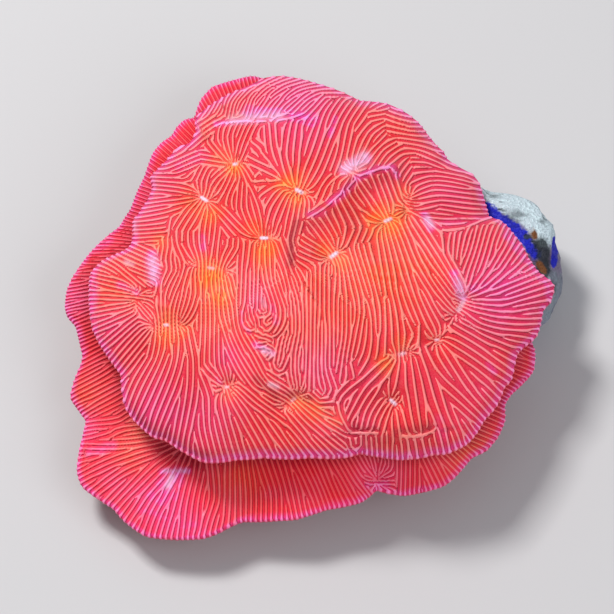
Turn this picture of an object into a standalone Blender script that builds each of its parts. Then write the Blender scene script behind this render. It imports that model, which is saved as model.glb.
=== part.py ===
"""Leptoseris coral colony: an upper and a lower ribbed plate of one coral, grown on a loose rock.

Each plate is a thin shell. Its height is a function of the place in the photograph, and a sight line
turns that place and height into a point, so that every mouth, wall and rim lies where it is seen.
Ribs run outwards from the mouths. Each plate narrows underneath to a stalk with a flat foot, which
stands on the flat seat of the plate or rock below it. The rock is a turned ring stack with lumps.
"""

import math

import bmesh
import bpy
import numpy as np
from mathutils import noise, Vector
from mathutils.geometry import delaunay_2d_cdt

# Real sizes, in metres
PIXEL = 0.00012
EYE_DISTANCE = 0.40
AIM_Y = 0.005
PLATE_TOP = 0.0222
RIM_THICKNESS = 0.0012
MIDDLE_THICKNESS = 0.0021
RIB = 0.00025
RIB_REACH = 0.00012
RIM_TUCK = 0.0004
CURL = 0.0007
FAR_CURL = 0.0016
CURL_START = 0.93
CURL_SPREAD = 100
DOME_POWER = 1.8
PAST_RIM = 0.05
AXIS_X = 0.0
AXIS_Y = 0.002
UPPER_FOOT = 0.0080
LOWER_SEAT = 0.0095
LOWER_FOOT = 0.0090
ROCK_SEAT = 0.0102
SEAT_Z = 0.0120
ROCK_TOP = 0.0080
CLEARANCE = 0.0003
FLARE = 0.0045
FLARE_POWER = 0.7
SEAT_BLEND = 0.0035
SHELTER_SHARES = (0.6, 0.93)
SEAT_RISE_END = 0.3
OUTER_PAST_RIM = 0.2

# The view that the photograph was taken from, and the middle of its frame in photo pixels
VIEW_ELEVATION = math.radians(60)
FRAME_MIDDLE = 307

# Places in the photograph, in its pixels
CENTRE = (300, 265)
UPPER_RIM = [
    (264, 77), (282, 75), (300, 78), (318, 83), (334, 88), (360, 100), (388, 103), (397, 107), (408, 113),
    (419, 122), (428, 134), (437, 145), (444, 151), (447, 158), (456, 165), (473, 174), (479, 181),
    (484, 198), (489, 217), (500, 220), (507, 225), (514, 234), (522, 244), (529, 258), (539, 273),
    (549, 279), (555, 285), (551, 301), (543, 308), (541, 322), (537, 335), (521, 348), (516, 356),
    (514, 368), (511, 380), (504, 386), (501, 396), (496, 406), (484, 419), (476, 433), (467, 443),
    (459, 447), (448, 452), (433, 453), (423, 456), (400, 458), (380, 455), (362, 452), (345, 456),
    (310, 456), (264, 456), (237, 458), (216, 461), (204, 461), (193, 456), (173, 444), (164, 438),
    (153, 436), (143, 428), (133, 418), (125, 406), (122, 390), (121, 373), (113, 363), (98, 340),
    (92, 327), (90, 312), (89, 292), (90, 274), (100, 262), (112, 256), (123, 252), (131, 245),
    (133, 236), (133, 219), (138, 214), (148, 199), (153, 186), (150, 175), (156, 170), (166, 160),
    (176, 148), (190, 142), (197, 130), (195, 119), (198, 114), (209, 105), (229, 93), (249, 85),
]
LOWER_RIM = [
    (252, 75), (231, 80), (212, 86), (202, 97), (198, 106), (195, 117), (184, 119), (176, 127), (172, 135),
    (161, 142), (153, 152), (145, 175), (131, 208), (119, 227), (108, 235), (95, 247), (84, 260),
    (73, 276), (67, 289), (65, 306), (67, 315), (76, 325), (79, 338), (83, 355), (81, 365), (75, 378),
    (70, 397), (80, 411), (87, 421), (83, 436), (80, 449), (77, 472), (82, 486), (97, 497), (113, 507),
    (123, 519), (133, 527), (145, 535), (176, 538), (203, 537), (217, 532), (230, 525), (242, 520),
    (278, 519), (296, 518), (312, 513), (327, 508), (345, 505), (361, 501), (371, 494), (377, 488),
    (385, 491), (405, 494), (433, 488), (445, 484), (455, 476), (462, 468), (472, 456), (487, 449),
    (498, 436), (505, 420), (504, 404), (511, 393), (520, 385), (528, 377), (534, 369), (535, 359),
    (534, 345), (500, 320), (470, 290), (440, 250), (400, 200), (350, 160), (300, 110), (275, 82),
]
MOUTHS = [
    (235, 164), (300, 191), (205, 199), (208, 267), (263, 238), (334, 255), (388, 220), (463, 303),
    (166, 325), (226, 387), (289, 402), (402, 355), (437, 340), (394, 403), (165, 243), (137, 300), (408, 208),
]

# Walls between the mouths: the line along the top, its height in metres, and how far in photo
# pixels it spreads to the side on the left of the line's run and to the side on the right of it
WALLS = [
    ([(300, 275), (292, 262), (293, 250), (298, 235), (303, 220), (325, 211), (331, 200), (348, 185),
      (352, 172), (395, 168), (400, 190)], 0.0013, 5, 16),
    ([(190, 150), (200, 137), (215, 125), (240, 120), (290, 118), (320, 108)], 0.0010, 6, 9),
    ([(165, 245), (155, 262), (150, 280), (140, 292)], 0.0007, 6, 6),
    ([(426, 217), (441, 231), (460, 229), (488, 225)], 0.0009, 6, 8),
    ([(426, 217), (441, 231), (446, 250), (458, 272), (463, 290)], 0.0007, 6, 6),
    ([(348, 436), (380, 434), (410, 437), (433, 432)], 0.0007, 14, 4),
]
PIT_DEPTH = 0.0006
PIT_SPREAD = 9

# Heights round the plates, in metres, by direction in the photograph: degrees anticlockwise from the right
UPPER_RIM_HEIGHT = {
    0: 0.0130, 40: 0.0130, 60: 0.0128, 90: 0.0125, 135: 0.0132, 160: 0.0128, 180: 0.0125,
    215: 0.0125, 270: 0.0135, 320: 0.0130, 340: 0.0130,
}
LOWER_RIM_HEIGHT = {
    20: 0.0098, 60: 0.0098, 90: 0.0100, 104: 0.0102, 135: 0.0102, 160: 0.0098, 180: 0.0092, 200: 0.0075,
    215: 0.0056, 235: 0.0050, 255: 0.0055, 270: 0.0065, 290: 0.0070, 310: 0.0080, 325: 0.0090, 345: 0.0095,
}
LOWER_SHELTERED_HEIGHT = {
    20: 0.0104, 90: 0.0104, 135: 0.0103, 160: 0.0100, 180: 0.0097, 200: 0.0082, 215: 0.0074, 240: 0.0074,
    265: 0.0085, 280: 0.0098, 290: 0.0108, 302: 0.0108, 311: 0.0098, 320: 0.0104, 345: 0.0104,
}

# The rock: radius and height of its shoulder, in metres, by direction in plan from +X towards +Y
ROCK_RADIUS = {
    0: 0.0275, 8: 0.0300, 20: 0.0308, 37: 0.0262, 55: 0.0235, 90: 0.0195, 135: 0.0165,
    180: 0.0155, 225: 0.0155, 270: 0.0160, 315: 0.0165, 340: 0.0195, 352: 0.0240,
}
ROCK_SHOULDER = {
    0: 0.0085, 8: 0.0100, 20: 0.0112, 37: 0.0104, 55: 0.0085, 90: 0.0062, 180: 0.0055,
    270: 0.0055, 330: 0.0058, 350: 0.0070,
}
ROCK_PROFILE = [(0.86, 0), (0.95, 0.14), (1, 0.34), (0.995, 0.55), (0.97, 0.76), (0.915, 0.92), (0.84, 1)]
ROCK_INNER_RINGS = (0.3, 0.6, 0.85)
ROCK_INNER_ROUGHNESS = 0.6
ROCK_COLUMNS = 60
ROCK_DISH = 1.9
ROCK_LUMP = 0.0012
ROCK_LUMP_SIZE = 0.007
ROCK_LUMP_PUSH = 2.0

# How finely the ribs are drawn, in photo pixels and counts
RIB_RADII = [6, 13, 21, 31, 43, 57, 73, 91, 111, 133, 157, 183]
RIB_COUNTS = [(20, 16), (44, 32), (90, 64), (1000, 128)]
FULL_RIB_RADIUS = 20
LOWER_RIBS = 176
LOWER_RIB_STEPS = [(0.3, 8), (0.5, 4)]
LOWER_SHELTER_STEPS = [(0.12, 2), (0.03, 1)]
LOWER_BAND_SHARES = (0.33, 0.67)
LOWER_BAND_LEAST = 30
RIM_MARGIN = 7
RIM_STEP = 4.0
RIM_STEP_LEAST = 0.55
RIM_CORNER_LEAST = 0.8
STALK_RINGS = (0, 0.25, 0.55, 1)
SHELL_RINGS = (0.35, 0.7, 0.9)
UNDER_TURN_STEP = 10
HALVINGS = 20
SLIDES = 40
MILLIMETRES = 1000
MERGE_GAP = 1e-7

# Degrees between the entries of a round table, and how many degrees each table is blurred by
TABLE_STEP = 0.25
REACH_BLUR = 0.5
UPPER_EDGE_BLUR = 8
LOWER_EDGE_BLUR = 5
LOWER_SHELTERED_BLUR = 4
ROCK_BLUR = 6

# Colours in red, green and blue, and roughness
UPPER_COLOUR = (0.90, 0.10, 0.10)
LOWER_COLOUR = (0.80, 0.07, 0.06)
ROCK_COLOUR = (0.55, 0.62, 0.72)
CORAL_ROUGHNESS = 0.6
ROCK_ROUGHNESS = 0.85

DEGREES = np.arange(0, 360, TABLE_STEP)


def round_table(entries, blur):
    """Values at every table step: straight runs between the entries, blurred by that many degrees."""
    straight = np.interp(DEGREES, list(entries), list(entries.values()), period=360)
    away = np.minimum(DEGREES, 360 - DEGREES)
    bell = np.exp(-0.5 * (away / blur) ** 2)
    blurred = np.fft.ifft(np.fft.fft(straight) * np.fft.fft(bell / bell.sum()))
    return blurred.real


def around(px, py):
    """Direction in degrees and distance in photo pixels from the colony's centre."""
    across, up = px - CENTRE[0], CENTRE[1] - py
    return np.degrees(np.arctan2(up, across)) % 360, np.hypot(across, up)


def reach_table(rim):
    """Distance from the centre to the rim, in photo pixels, at every table step."""
    corners = np.array(rim, float)
    direction, reach = around(corners[:, 0], corners[:, 1])
    order = np.argsort(direction)
    return round_table(dict(zip(direction[order], reach[order])), REACH_BLUR)


def look(table, direction):
    """Reads a round table."""
    return np.interp(direction, DEGREES, table, period=360)


UPPER_REACH = reach_table(UPPER_RIM)
LOWER_REACH = reach_table(LOWER_RIM)
UPPER_EDGE = round_table(UPPER_RIM_HEIGHT, UPPER_EDGE_BLUR)
LOWER_EDGE = round_table(LOWER_RIM_HEIGHT, LOWER_EDGE_BLUR)
LOWER_SHELTERED = round_table(LOWER_SHELTERED_HEIGHT, LOWER_SHELTERED_BLUR)
ROCK_REACH = round_table(ROCK_RADIUS, ROCK_BLUR)
ROCK_EDGE = round_table(ROCK_SHOULDER, ROCK_BLUR)


def seen(px, py, z):
    """x and y of the point at height z on the sight line through a photo pixel."""
    sin_e, cos_e = math.sin(VIEW_ELEVATION), math.cos(VIEW_ELEVATION)
    right, up = (px - FRAME_MIDDLE) * PIXEL, (FRAME_MIDDLE - py) * PIXEL
    along = (z - EYE_DISTANCE * sin_e) / (up * cos_e - EYE_DISTANCE * sin_e)
    return right * along, AIM_Y - EYE_DISTANCE * cos_e + (EYE_DISTANCE * cos_e + up * sin_e) * along


def pixel_of(x, y, z):
    """Photo pixel at which a point is seen."""
    sin_e, cos_e = math.sin(VIEW_ELEVATION), math.cos(VIEW_ELEVATION)
    dy, dz = y - AIM_Y + EYE_DISTANCE * cos_e, z - EYE_DISTANCE * sin_e
    enlarge = EYE_DISTANCE / (dy * cos_e - dz * sin_e) / PIXEL
    return FRAME_MIDDLE + x * enlarge, FRAME_MIDDLE - (dy * sin_e + dz * cos_e) * enlarge


def line_gap(px, py, line):
    """Distance in photo pixels to a bent line, and +1 or -1 for the left or right of its run."""
    nearest, side = np.full(np.shape(px), np.inf), np.zeros(np.shape(px))
    for (ax, ay), (bx, by) in zip(line, line[1:]):
        dx, dy = bx - ax, by - ay
        along = np.clip(((px - ax) * dx + (py - ay) * dy) / (dx * dx + dy * dy), 0, 1)
        gap = np.hypot(px - ax - along * dx, py - ay - along * dy)
        turn = np.sign((px - ax) * dy - (py - ay) * dx)
        side = np.where(gap < nearest, turn, side)
        nearest = np.minimum(gap, nearest)
    return nearest, side


def relief(px, py):
    """Height of the walls between the mouths, less the depth of the pits at the mouths."""
    raised = np.zeros(np.shape(px))
    for line, height, left_spread, right_spread in WALLS:
        gap, side = line_gap(px, py, line)
        spread = np.where(side > 0, left_spread, right_spread)
        raised = np.maximum(raised, height * np.exp(-0.5 * (gap / spread) ** 2))
    for mx, my in MOUTHS:
        gap = np.hypot(px - mx, py - my)
        raised = raised - PIT_DEPTH * np.exp(-0.5 * (gap / PIT_SPREAD) ** 2)
    return raised


def upper_top(px, py):
    """Height of the upper plate: a dome that falls to the rim, with a curled edge and the walls and pits."""
    direction, distance = around(px, py)
    share = distance / look(UPPER_REACH, direction)
    edge = look(UPPER_EDGE, direction)
    far_side = np.clip((CENTRE[1] - py) / CURL_SPREAD, 0, 1)
    curl = CURL + (FAR_CURL - CURL) * far_side
    curl = curl * np.clip((share - CURL_START) / (1 - CURL_START), 0, 1) ** 2
    dome = 1 - np.minimum(share, 1 + PAST_RIM) ** DOME_POWER
    return edge + (PLATE_TOP - edge) * dome - curl + relief(px, py)


def ease(share):
    """0 to 1 with no slope at either end."""
    share = np.clip(share, 0, 1)
    return share * share * (3 - 2 * share)


def lower_top(px, py):
    """Height of the lower plate: it rises from the rim to below the upper rim, then to the flat seat."""
    direction, distance = around(px, py)
    reach = look(LOWER_REACH, direction)
    share = distance / reach
    sheltered = np.clip(look(UPPER_REACH, direction) / reach, *SHELTER_SHARES)
    edge, under = look(LOWER_EDGE, direction), look(LOWER_SHELTERED, direction)
    outer = np.clip((1 - share) / (1 - sheltered), -OUTER_PAST_RIM, 1)
    seat_rise = ease((sheltered - share) / (sheltered - SEAT_RISE_END))
    height = edge + (under - edge) * outer + (SEAT_Z - under) * seat_rise
    x, y = seen(px, py, SEAT_Z)
    off_axis = np.hypot(x - AXIS_X, y - AXIS_Y)
    return SEAT_Z + (height - SEAT_Z) * ease((off_axis - LOWER_SEAT) / SEAT_BLEND)


def top_below(top, x, y):
    """Height of a plate's top at a point in plan, found by sliding along the upright line through it."""
    z = np.full(np.shape(x), SEAT_Z)
    for _ in range(SLIDES):
        z = (z + top(*pixel_of(x, y, z))) / 2
    return z


def mesh_object(name, points, faces, colour, roughness):
    """A closed mesh with its faces turned outwards, and its own material."""
    made = bmesh.new()
    corners = [made.verts.new(point) for point in points]
    for face in faces:
        made.faces.new([corners[i] for i in face])
    bmesh.ops.recalc_face_normals(made, faces=made.faces)
    mesh = bpy.data.meshes.new(name)
    made.to_mesh(mesh)
    made.free()
    material = bpy.data.materials.new(name)
    material.use_nodes = True
    shader = material.node_tree.nodes["Principled BSDF"]
    shader.inputs["Base Color"].default_value = (*colour, 1)
    shader.inputs["Roughness"].default_value = roughness
    shader.inputs["Metallic"].default_value = 0
    mesh.materials.append(material)
    shape = bpy.data.objects.new(name, mesh)
    bpy.context.scene.collection.objects.link(shape)
    return shape


def nearest_mouth(x, y):
    return min(range(len(MOUTHS)), key=lambda k: math.hypot(x - MOUTHS[k][0], y - MOUTHS[k][1]))


def room(reach, x, y):
    """How far inside the rim a photo pixel lies."""
    direction, distance = around(x, y)
    return look(reach, direction) - distance


def rim_crossing(reach, mouth, turn, inner, outer):
    """Distance along a rib at which it crosses the rim, by halving."""
    for _ in range(HALVINGS):
        middle = (inner + outer) / 2
        inside = room(reach, mouth[0] + middle * math.cos(turn), mouth[1] + middle * math.sin(turn)) > 0
        inner, outer = (middle, outer) if inside else (inner, middle)
    return inner


def upper_ribs():
    """Points along the ribs and grooves that run out from each mouth as far as its neighbours' share.

    Gives inner points (x, y, lift), runs that join them, and rim points (direction, lift, inner point).
    """
    points, runs, rim = [], [], []
    finest = RIB_COUNTS[-1][1]
    for k, (mx, my) in enumerate(MOUTHS):
        middle = len(points)
        points.append((mx, my, 0))
        for i in range(finest):
            turn = 2 * math.pi * i / finest
            last, last_radius = None, 0
            for radius in RIB_RADII:
                count = next(number for limit, number in RIB_COUNTS if radius < limit)
                step = finest // count
                if i % step:
                    continue
                x, y = mx + radius * math.cos(turn), my + radius * math.sin(turn)
                lift = (RIB if (i // step) % 2 == 0 else -RIB) * min(radius / FULL_RIB_RADIUS, 1)
                if nearest_mouth(x, y) != k:
                    break
                if room(UPPER_REACH, x, y) < RIM_MARGIN:
                    crossing = rim_crossing(UPPER_REACH, (mx, my), turn, last_radius, radius + 2 * RIM_MARGIN)
                    x, y = mx + crossing * math.cos(turn), my + crossing * math.sin(turn)
                    if nearest_mouth(x, y) == k:
                        rim.append((float(around(x, y)[0]), lift, last))
                    break
                points.append((x, y, lift))
                runs.append((middle if last is None and radius == RIB_RADII[0] else last, len(points) - 1))
                last, last_radius = len(points) - 1, radius
    return points, [run for run in runs if run[0] is not None], rim


def lower_ribs():
    """The same for the lower plate: ribs run straight out from the colony's centre under the upper plate."""
    points, runs, rim = [(*CENTRE, 0)], [], []
    for i in range(LOWER_RIBS):
        direction = 360 * i / LOWER_RIBS
        reach = float(look(LOWER_REACH, direction))
        sheltered = min(float(look(UPPER_REACH, direction)) / reach, SHELTER_SHARES[1])
        lift = RIB if i % 2 == 0 else -RIB
        steps = LOWER_RIB_STEPS + [(sheltered - inside, step) for inside, step in LOWER_SHELTER_STEPS]
        if reach * (1 - sheltered) > LOWER_BAND_LEAST:
            steps += [(sheltered + (1 - sheltered) * share, 1) for share in LOWER_BAND_SHARES]
        last = None
        for share, step in steps:
            if i % step or reach * (1 - share) < RIM_MARGIN:
                continue
            x, y = on_rim(direction, share * reach)
            points.append((float(x), float(y), lift if step == 1 else 0))
            if last is not None:
                runs.append((last, len(points) - 1))
            last = len(points) - 1
        rim.append((direction, lift, last))
    return points, runs, rim


def rim_loop(rim, reach, corners):
    """The rim's points in order round the plate, thinned where ribs crowd, with the bare stretches filled."""
    wanted = sorted(rim, key=lambda entry: entry[0])
    loop = []
    for entry in wanted:
        apart = RIM_STEP / math.radians(1) / float(look(reach, entry[0]))
        if not loop or entry[0] - loop[-1][0] > RIM_STEP_LEAST * apart:
            loop.append(entry)
    for corner in corners:
        direction = float(around(*corner)[0])
        apart = RIM_STEP / math.radians(1) / float(look(reach, direction))
        apart_from_all = min(abs((direction - entry[0] + 180) % 360 - 180) for entry in loop)
        if apart_from_all > RIM_CORNER_LEAST * apart:
            loop.append((direction, 0, None))
    return sorted(loop, key=lambda entry: entry[0])


def on_rim(direction, distance):
    turn = np.radians(direction)
    return CENTRE[0] + distance * np.cos(turn), CENTRE[1] - distance * np.sin(turn)


def flat_mesh(points, runs, outline):
    """Triangles that fill an outline of point numbers and keep to the runs, as point numbers."""
    flat = [Vector((float(x), float(y))) for x, y in points]
    result = delaunay_2d_cdt(flat, runs, [outline], 1, MERGE_GAP)
    source = [origin[0] for origin in result[3]]
    return [[source[i] for i in face] for face in result[2]]


def ribbed_top(top, reach, ribs, loop):
    """Points and faces of a plate's top. The rim's points come last, in order round the plate."""
    inner, runs, _ = ribs
    inner = np.array(inner, float)
    direction = np.array([entry[0] for entry in loop])
    lift = np.array([entry[1] for entry in loop])
    rim_x, rim_y = on_rim(direction, look(reach, direction) + np.sign(lift) * RIB_REACH / PIXEL)
    flat_x, flat_y = np.append(inner[:, 0], rim_x), np.append(inner[:, 1], rim_y)
    first = len(inner)
    runs = runs + [(entry[2], first + i) for i, entry in enumerate(loop) if entry[2] is not None]
    faces = flat_mesh(zip(flat_x, flat_y), runs, list(range(first, first + len(loop))))
    z = top(flat_x, flat_y) + np.append(inner[:, 2], lift)
    if top is lower_top:
        seat_x, seat_y = seen(flat_x, flat_y, SEAT_Z)
        z = np.where(np.hypot(seat_x - AXIS_X, seat_y - AXIS_Y) < LOWER_SEAT, SEAT_Z, z)
    return np.column_stack([*seen(flat_x, flat_y, z), z]), faces


def low_rim(top, reach, loop):
    """Points of the rim's lower edge, tucked in below the upper edge."""
    direction = np.array([entry[0] for entry in loop])
    tuck_x, tuck_y = on_rim(direction, look(reach, direction) - RIM_TUCK / PIXEL)
    z = top(tuck_x, tuck_y)
    return np.column_stack([*seen(tuck_x, tuck_y, z), z - RIM_THICKNESS])


def underside(top, low, foot_radius, foot_z):
    """Points and faces from the rim's lower edge over the underside and down the stalk to its flat foot."""
    turns = np.radians(np.arange(0, 360, UNDER_TURN_STEP))
    low_turn = np.arctan2(low[:, 1] - AXIS_Y, low[:, 0] - AXIS_X)
    low_reach = np.hypot(low[:, 0] - AXIS_X, low[:, 1] - AXIS_Y)
    spin = np.argsort(low_turn)
    rim_reach = np.interp(turns, low_turn[spin], low_reach[spin], period=2 * math.pi)
    start = foot_radius + FLARE
    rings = [np.full(len(turns), foot_radius + FLARE * share) for share in STALK_RINGS]
    rings += [start + (rim_reach - start) * share for share in SHELL_RINGS]
    ring_turn, ring_reach = np.tile(turns, len(rings)), np.concatenate(rings)
    x = AXIS_X + ring_reach * np.cos(ring_turn)
    y = AXIS_Y + ring_reach * np.sin(ring_turn)
    outward = np.clip((ring_reach - start) / (np.tile(rim_reach, len(rings)) - start), 0, 1)
    shell = top_below(top, x, y) - MIDDLE_THICKNESS + (MIDDLE_THICKNESS - RIM_THICKNESS) * outward
    stalk = ease((ring_reach - foot_radius) / FLARE) ** FLARE_POWER
    z = np.where(ring_reach <= foot_radius, foot_z, foot_z + (shell - foot_z) * stalk)
    points = np.vstack([low, np.column_stack([x, y, z])])
    foot_ring = [len(low) + i for i in range(len(turns))]
    foot_runs = list(zip(foot_ring, foot_ring[1:] + foot_ring[:1]))
    flat = points[:, :2] * MILLIMETRES
    return points, flat_mesh(flat.tolist(), foot_runs, list(range(len(low))))


def plate(name, top, reach, ribs, corners, foot_radius, foot_z, colour):
    """A shell with a ribbed top, a thin rim and a smooth underside that draws in to a stalk."""
    loop = rim_loop(ribs[2], reach, corners)
    top_points, top_faces = ribbed_top(top, reach, ribs, loop)
    under_points, under_faces = underside(top, low_rim(top, reach, loop), foot_radius, foot_z)
    count, below = len(loop), len(top_points)
    first = below - count
    wall = []
    for i in range(count):
        j = (i + 1) % count
        wall.append((first + i, first + j, below + j))
        wall.append((first + i, below + j, below + i))
    faces = top_faces + wall + [[below + i for i in face] for face in under_faces]
    points = np.vstack([top_points, under_points]).tolist()
    return mesh_object(name, points, faces, colour, CORAL_ROUGHNESS)


def rock():
    """Rings from the flat underside up the lumpy sides and over the shoulder to the flat seat."""
    turns = 2 * math.pi * np.arange(ROCK_COLUMNS) / ROCK_COLUMNS
    reach, shoulder = look(ROCK_REACH, np.degrees(turns)), look(ROCK_EDGE, np.degrees(turns))
    rings = [(reach * out, shoulder * up, 1.0) for out, up in ROCK_PROFILE]
    shoulder_reach = reach * ROCK_PROFILE[-1][0]
    for share in ROCK_INNER_RINGS:
        out = shoulder_reach + (ROCK_SEAT - shoulder_reach) * share
        up = shoulder + (ROCK_TOP - shoulder) * ease(share * ROCK_DISH)
        rings.append((out, up, ROCK_INNER_ROUGHNESS * (1 - share)))
    points = []
    for number, (out, up, rough) in enumerate(rings):
        for turn, radius, height in zip(turns, out, up):
            spot = Vector((radius * math.cos(turn), radius * math.sin(turn), height))
            lump = ROCK_LUMP * rough * noise.noise(spot / ROCK_LUMP_SIZE)
            radius += ROCK_LUMP_PUSH * lump
            z = 0 if number == 0 else height + min(lump, 0)
            points.append((radius * math.cos(turn), radius * math.sin(turn), z))
    for turn in turns:
        points.append((AXIS_X + ROCK_SEAT * math.cos(turn), AXIS_Y + ROCK_SEAT * math.sin(turn), ROCK_TOP))
    faces = []
    count = ROCK_COLUMNS
    for ring in range(len(rings)):
        for i in range(count):
            j = (i + 1) % count
            a, b = ring * count, (ring + 1) * count
            faces.append((a + i, a + j, b + j))
            faces.append((a + i, b + j, b + i))
    faces.append(tuple(range(count)))
    faces.append(tuple(range(len(rings) * count, (len(rings) + 1) * count)))
    return mesh_object("rock", points, faces, ROCK_COLOUR, ROCK_ROUGHNESS)


def main():
    for old in list(bpy.data.objects):
        bpy.data.objects.remove(old)
    plate(
        "upper_plate", upper_top, UPPER_REACH, upper_ribs(), UPPER_RIM,
        UPPER_FOOT, SEAT_Z + CLEARANCE, UPPER_COLOUR,
    )
    plate(
        "lower_plate", lower_top, LOWER_REACH, lower_ribs(), LOWER_RIM,
        LOWER_FOOT, ROCK_TOP + CLEARANCE, LOWER_COLOUR,
    )
    rock()


main()
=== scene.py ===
"""Looks of a leptoseris coral colony: two ribbed plates, a crusted rock, a floor, lights and a camera.

A plate's skin is a height over the photograph's frame. Its ribs are a wave field grown along the
directions that the ribs take between the mouths, and a sight line turns each place and height into a point.
"""

import math

import bmesh
import bpy
import numpy as np
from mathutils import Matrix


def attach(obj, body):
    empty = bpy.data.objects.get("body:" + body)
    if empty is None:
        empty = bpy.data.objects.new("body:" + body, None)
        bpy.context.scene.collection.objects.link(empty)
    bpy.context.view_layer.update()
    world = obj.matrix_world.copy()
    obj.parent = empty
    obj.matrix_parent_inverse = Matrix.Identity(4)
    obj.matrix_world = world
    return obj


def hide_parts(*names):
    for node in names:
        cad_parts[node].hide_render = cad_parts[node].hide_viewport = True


bl_info = {
    "name": "Leptoseris Coral",
    "version": (1, 0, 0),
    "blender": (4, 5, 0),
    "location": "3D View > Sidebar > Coral",
    "description": "Builds the ribbed skins, the rock and the stage of a plating coral colony",
    "category": "Add Mesh",
}

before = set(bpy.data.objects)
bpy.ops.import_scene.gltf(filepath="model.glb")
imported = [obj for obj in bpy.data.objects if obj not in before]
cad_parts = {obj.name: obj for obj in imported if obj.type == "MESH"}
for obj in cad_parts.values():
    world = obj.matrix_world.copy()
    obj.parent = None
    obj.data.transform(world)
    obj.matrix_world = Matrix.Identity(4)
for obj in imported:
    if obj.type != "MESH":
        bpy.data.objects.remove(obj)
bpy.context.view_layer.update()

# Sizes that the plates and the rock share with the solids, in metres
PIXEL = 0.00012
EYE_DISTANCE = 0.40
AIM_Y = 0.005
PLATE_TOP = 0.0222
CURL = 0.0007
FAR_CURL = 0.0016
AXIS_X = 0.0
AXIS_Y = 0.002
UPPER_FOOT = 0.0080
LOWER_SEAT = 0.0095
LOWER_FOOT = 0.0090
ROCK_SEAT = 0.0102
SEAT_Z = 0.0120
ROCK_TOP = 0.0080
CLEARANCE = 0.0003
FLARE = 0.0045
SEAT_BLEND = 0.0035
MIDDLE_THICKNESS = 0.0021
RIM_THICKNESS = 0.0012

# How the plates' tops rise: a power, shares of the way out, and photo pixels towards the far side
DOME_POWER = 1.8
CURL_START = 0.93
FARTHEST_SHARE = 1.05
SHELTERED_SHARES = (0.6, 0.93)
OUTER_SHARES = (-0.2, 1)
SEAT_SHARE = 0.3
FAR_SIDE_REACH = 100

# The view that the photograph was taken from, and the middle of its frame in photo pixels
VIEW_ELEVATION = math.radians(60)
FRAME_MIDDLE = 307

# Outlines of the plates in the photograph, in its pixels
CENTRE = (300, 265)
UPPER_RIM = [
    (264, 77), (282, 75), (300, 78), (318, 83), (334, 88), (360, 100), (388, 103), (397, 107), (408, 113),
    (419, 122), (428, 134), (437, 145), (444, 151), (447, 158), (456, 165), (473, 174), (479, 181),
    (484, 198), (489, 217), (500, 220), (507, 225), (514, 234), (522, 244), (529, 258), (539, 273),
    (549, 279), (555, 285), (551, 301), (543, 308), (541, 322), (537, 335), (521, 348), (516, 356),
    (514, 368), (511, 380), (504, 386), (501, 396), (496, 406), (484, 419), (476, 433), (467, 443),
    (459, 447), (448, 452), (433, 453), (423, 456), (400, 458), (380, 455), (362, 452), (345, 456),
    (310, 456), (264, 456), (237, 458), (216, 461), (204, 461), (193, 456), (173, 444), (164, 438),
    (153, 436), (143, 428), (133, 418), (125, 406), (122, 390), (121, 373), (113, 363), (98, 340),
    (92, 327), (90, 312), (89, 292), (90, 274), (100, 262), (112, 256), (123, 252), (131, 245),
    (133, 236), (133, 219), (138, 214), (148, 199), (153, 186), (150, 175), (156, 170), (166, 160),
    (176, 148), (190, 142), (197, 130), (195, 119), (198, 114), (209, 105), (229, 93), (249, 85),
]
LOWER_RIM = [
    (252, 75), (231, 80), (212, 86), (202, 97), (198, 106), (195, 117), (184, 119), (176, 127), (172, 135),
    (161, 142), (153, 152), (145, 175), (131, 208), (119, 227), (108, 235), (95, 247), (84, 260),
    (73, 276), (67, 289), (65, 306), (67, 315), (76, 325), (79, 338), (83, 355), (81, 365), (75, 378),
    (70, 397), (80, 411), (87, 421), (83, 436), (80, 449), (77, 472), (82, 486), (97, 497), (113, 507),
    (123, 519), (133, 527), (145, 535), (176, 538), (203, 537), (217, 532), (230, 525), (242, 520),
    (278, 519), (296, 518), (312, 513), (327, 508), (345, 505), (361, 501), (371, 494), (377, 488),
    (385, 491), (405, 494), (433, 488), (445, 484), (455, 476), (462, 468), (472, 456), (487, 449),
    (498, 436), (505, 420), (504, 404), (511, 393), (520, 385), (528, 377), (534, 369), (535, 359),
    (534, 345), (500, 320), (470, 290), (440, 250), (400, 200), (350, 160), (300, 110), (275, 82),
]

# Heights of the rims, in metres, by direction in the photograph: degrees anticlockwise from the right
UPPER_RIM_HEIGHT = {
    0: 0.0130, 40: 0.0130, 60: 0.0128, 90: 0.0125, 135: 0.0132, 160: 0.0128, 180: 0.0125,
    215: 0.0125, 270: 0.0135, 320: 0.0130, 340: 0.0130,
}
LOWER_RIM_HEIGHT = {
    20: 0.0098, 60: 0.0098, 90: 0.0100, 104: 0.0102, 135: 0.0102, 160: 0.0098, 180: 0.0092, 200: 0.0075,
    215: 0.0056, 235: 0.0050, 255: 0.0055, 270: 0.0065, 290: 0.0070, 310: 0.0080, 325: 0.0090, 345: 0.0095,
}
LOWER_SHELTERED_HEIGHT = {
    20: 0.0104, 90: 0.0104, 135: 0.0103, 160: 0.0100, 180: 0.0097, 200: 0.0082, 215: 0.0074, 240: 0.0074,
    265: 0.0085, 280: 0.0098, 290: 0.0108, 302: 0.0108, 311: 0.0098, 320: 0.0104, 345: 0.0104,
}

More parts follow.
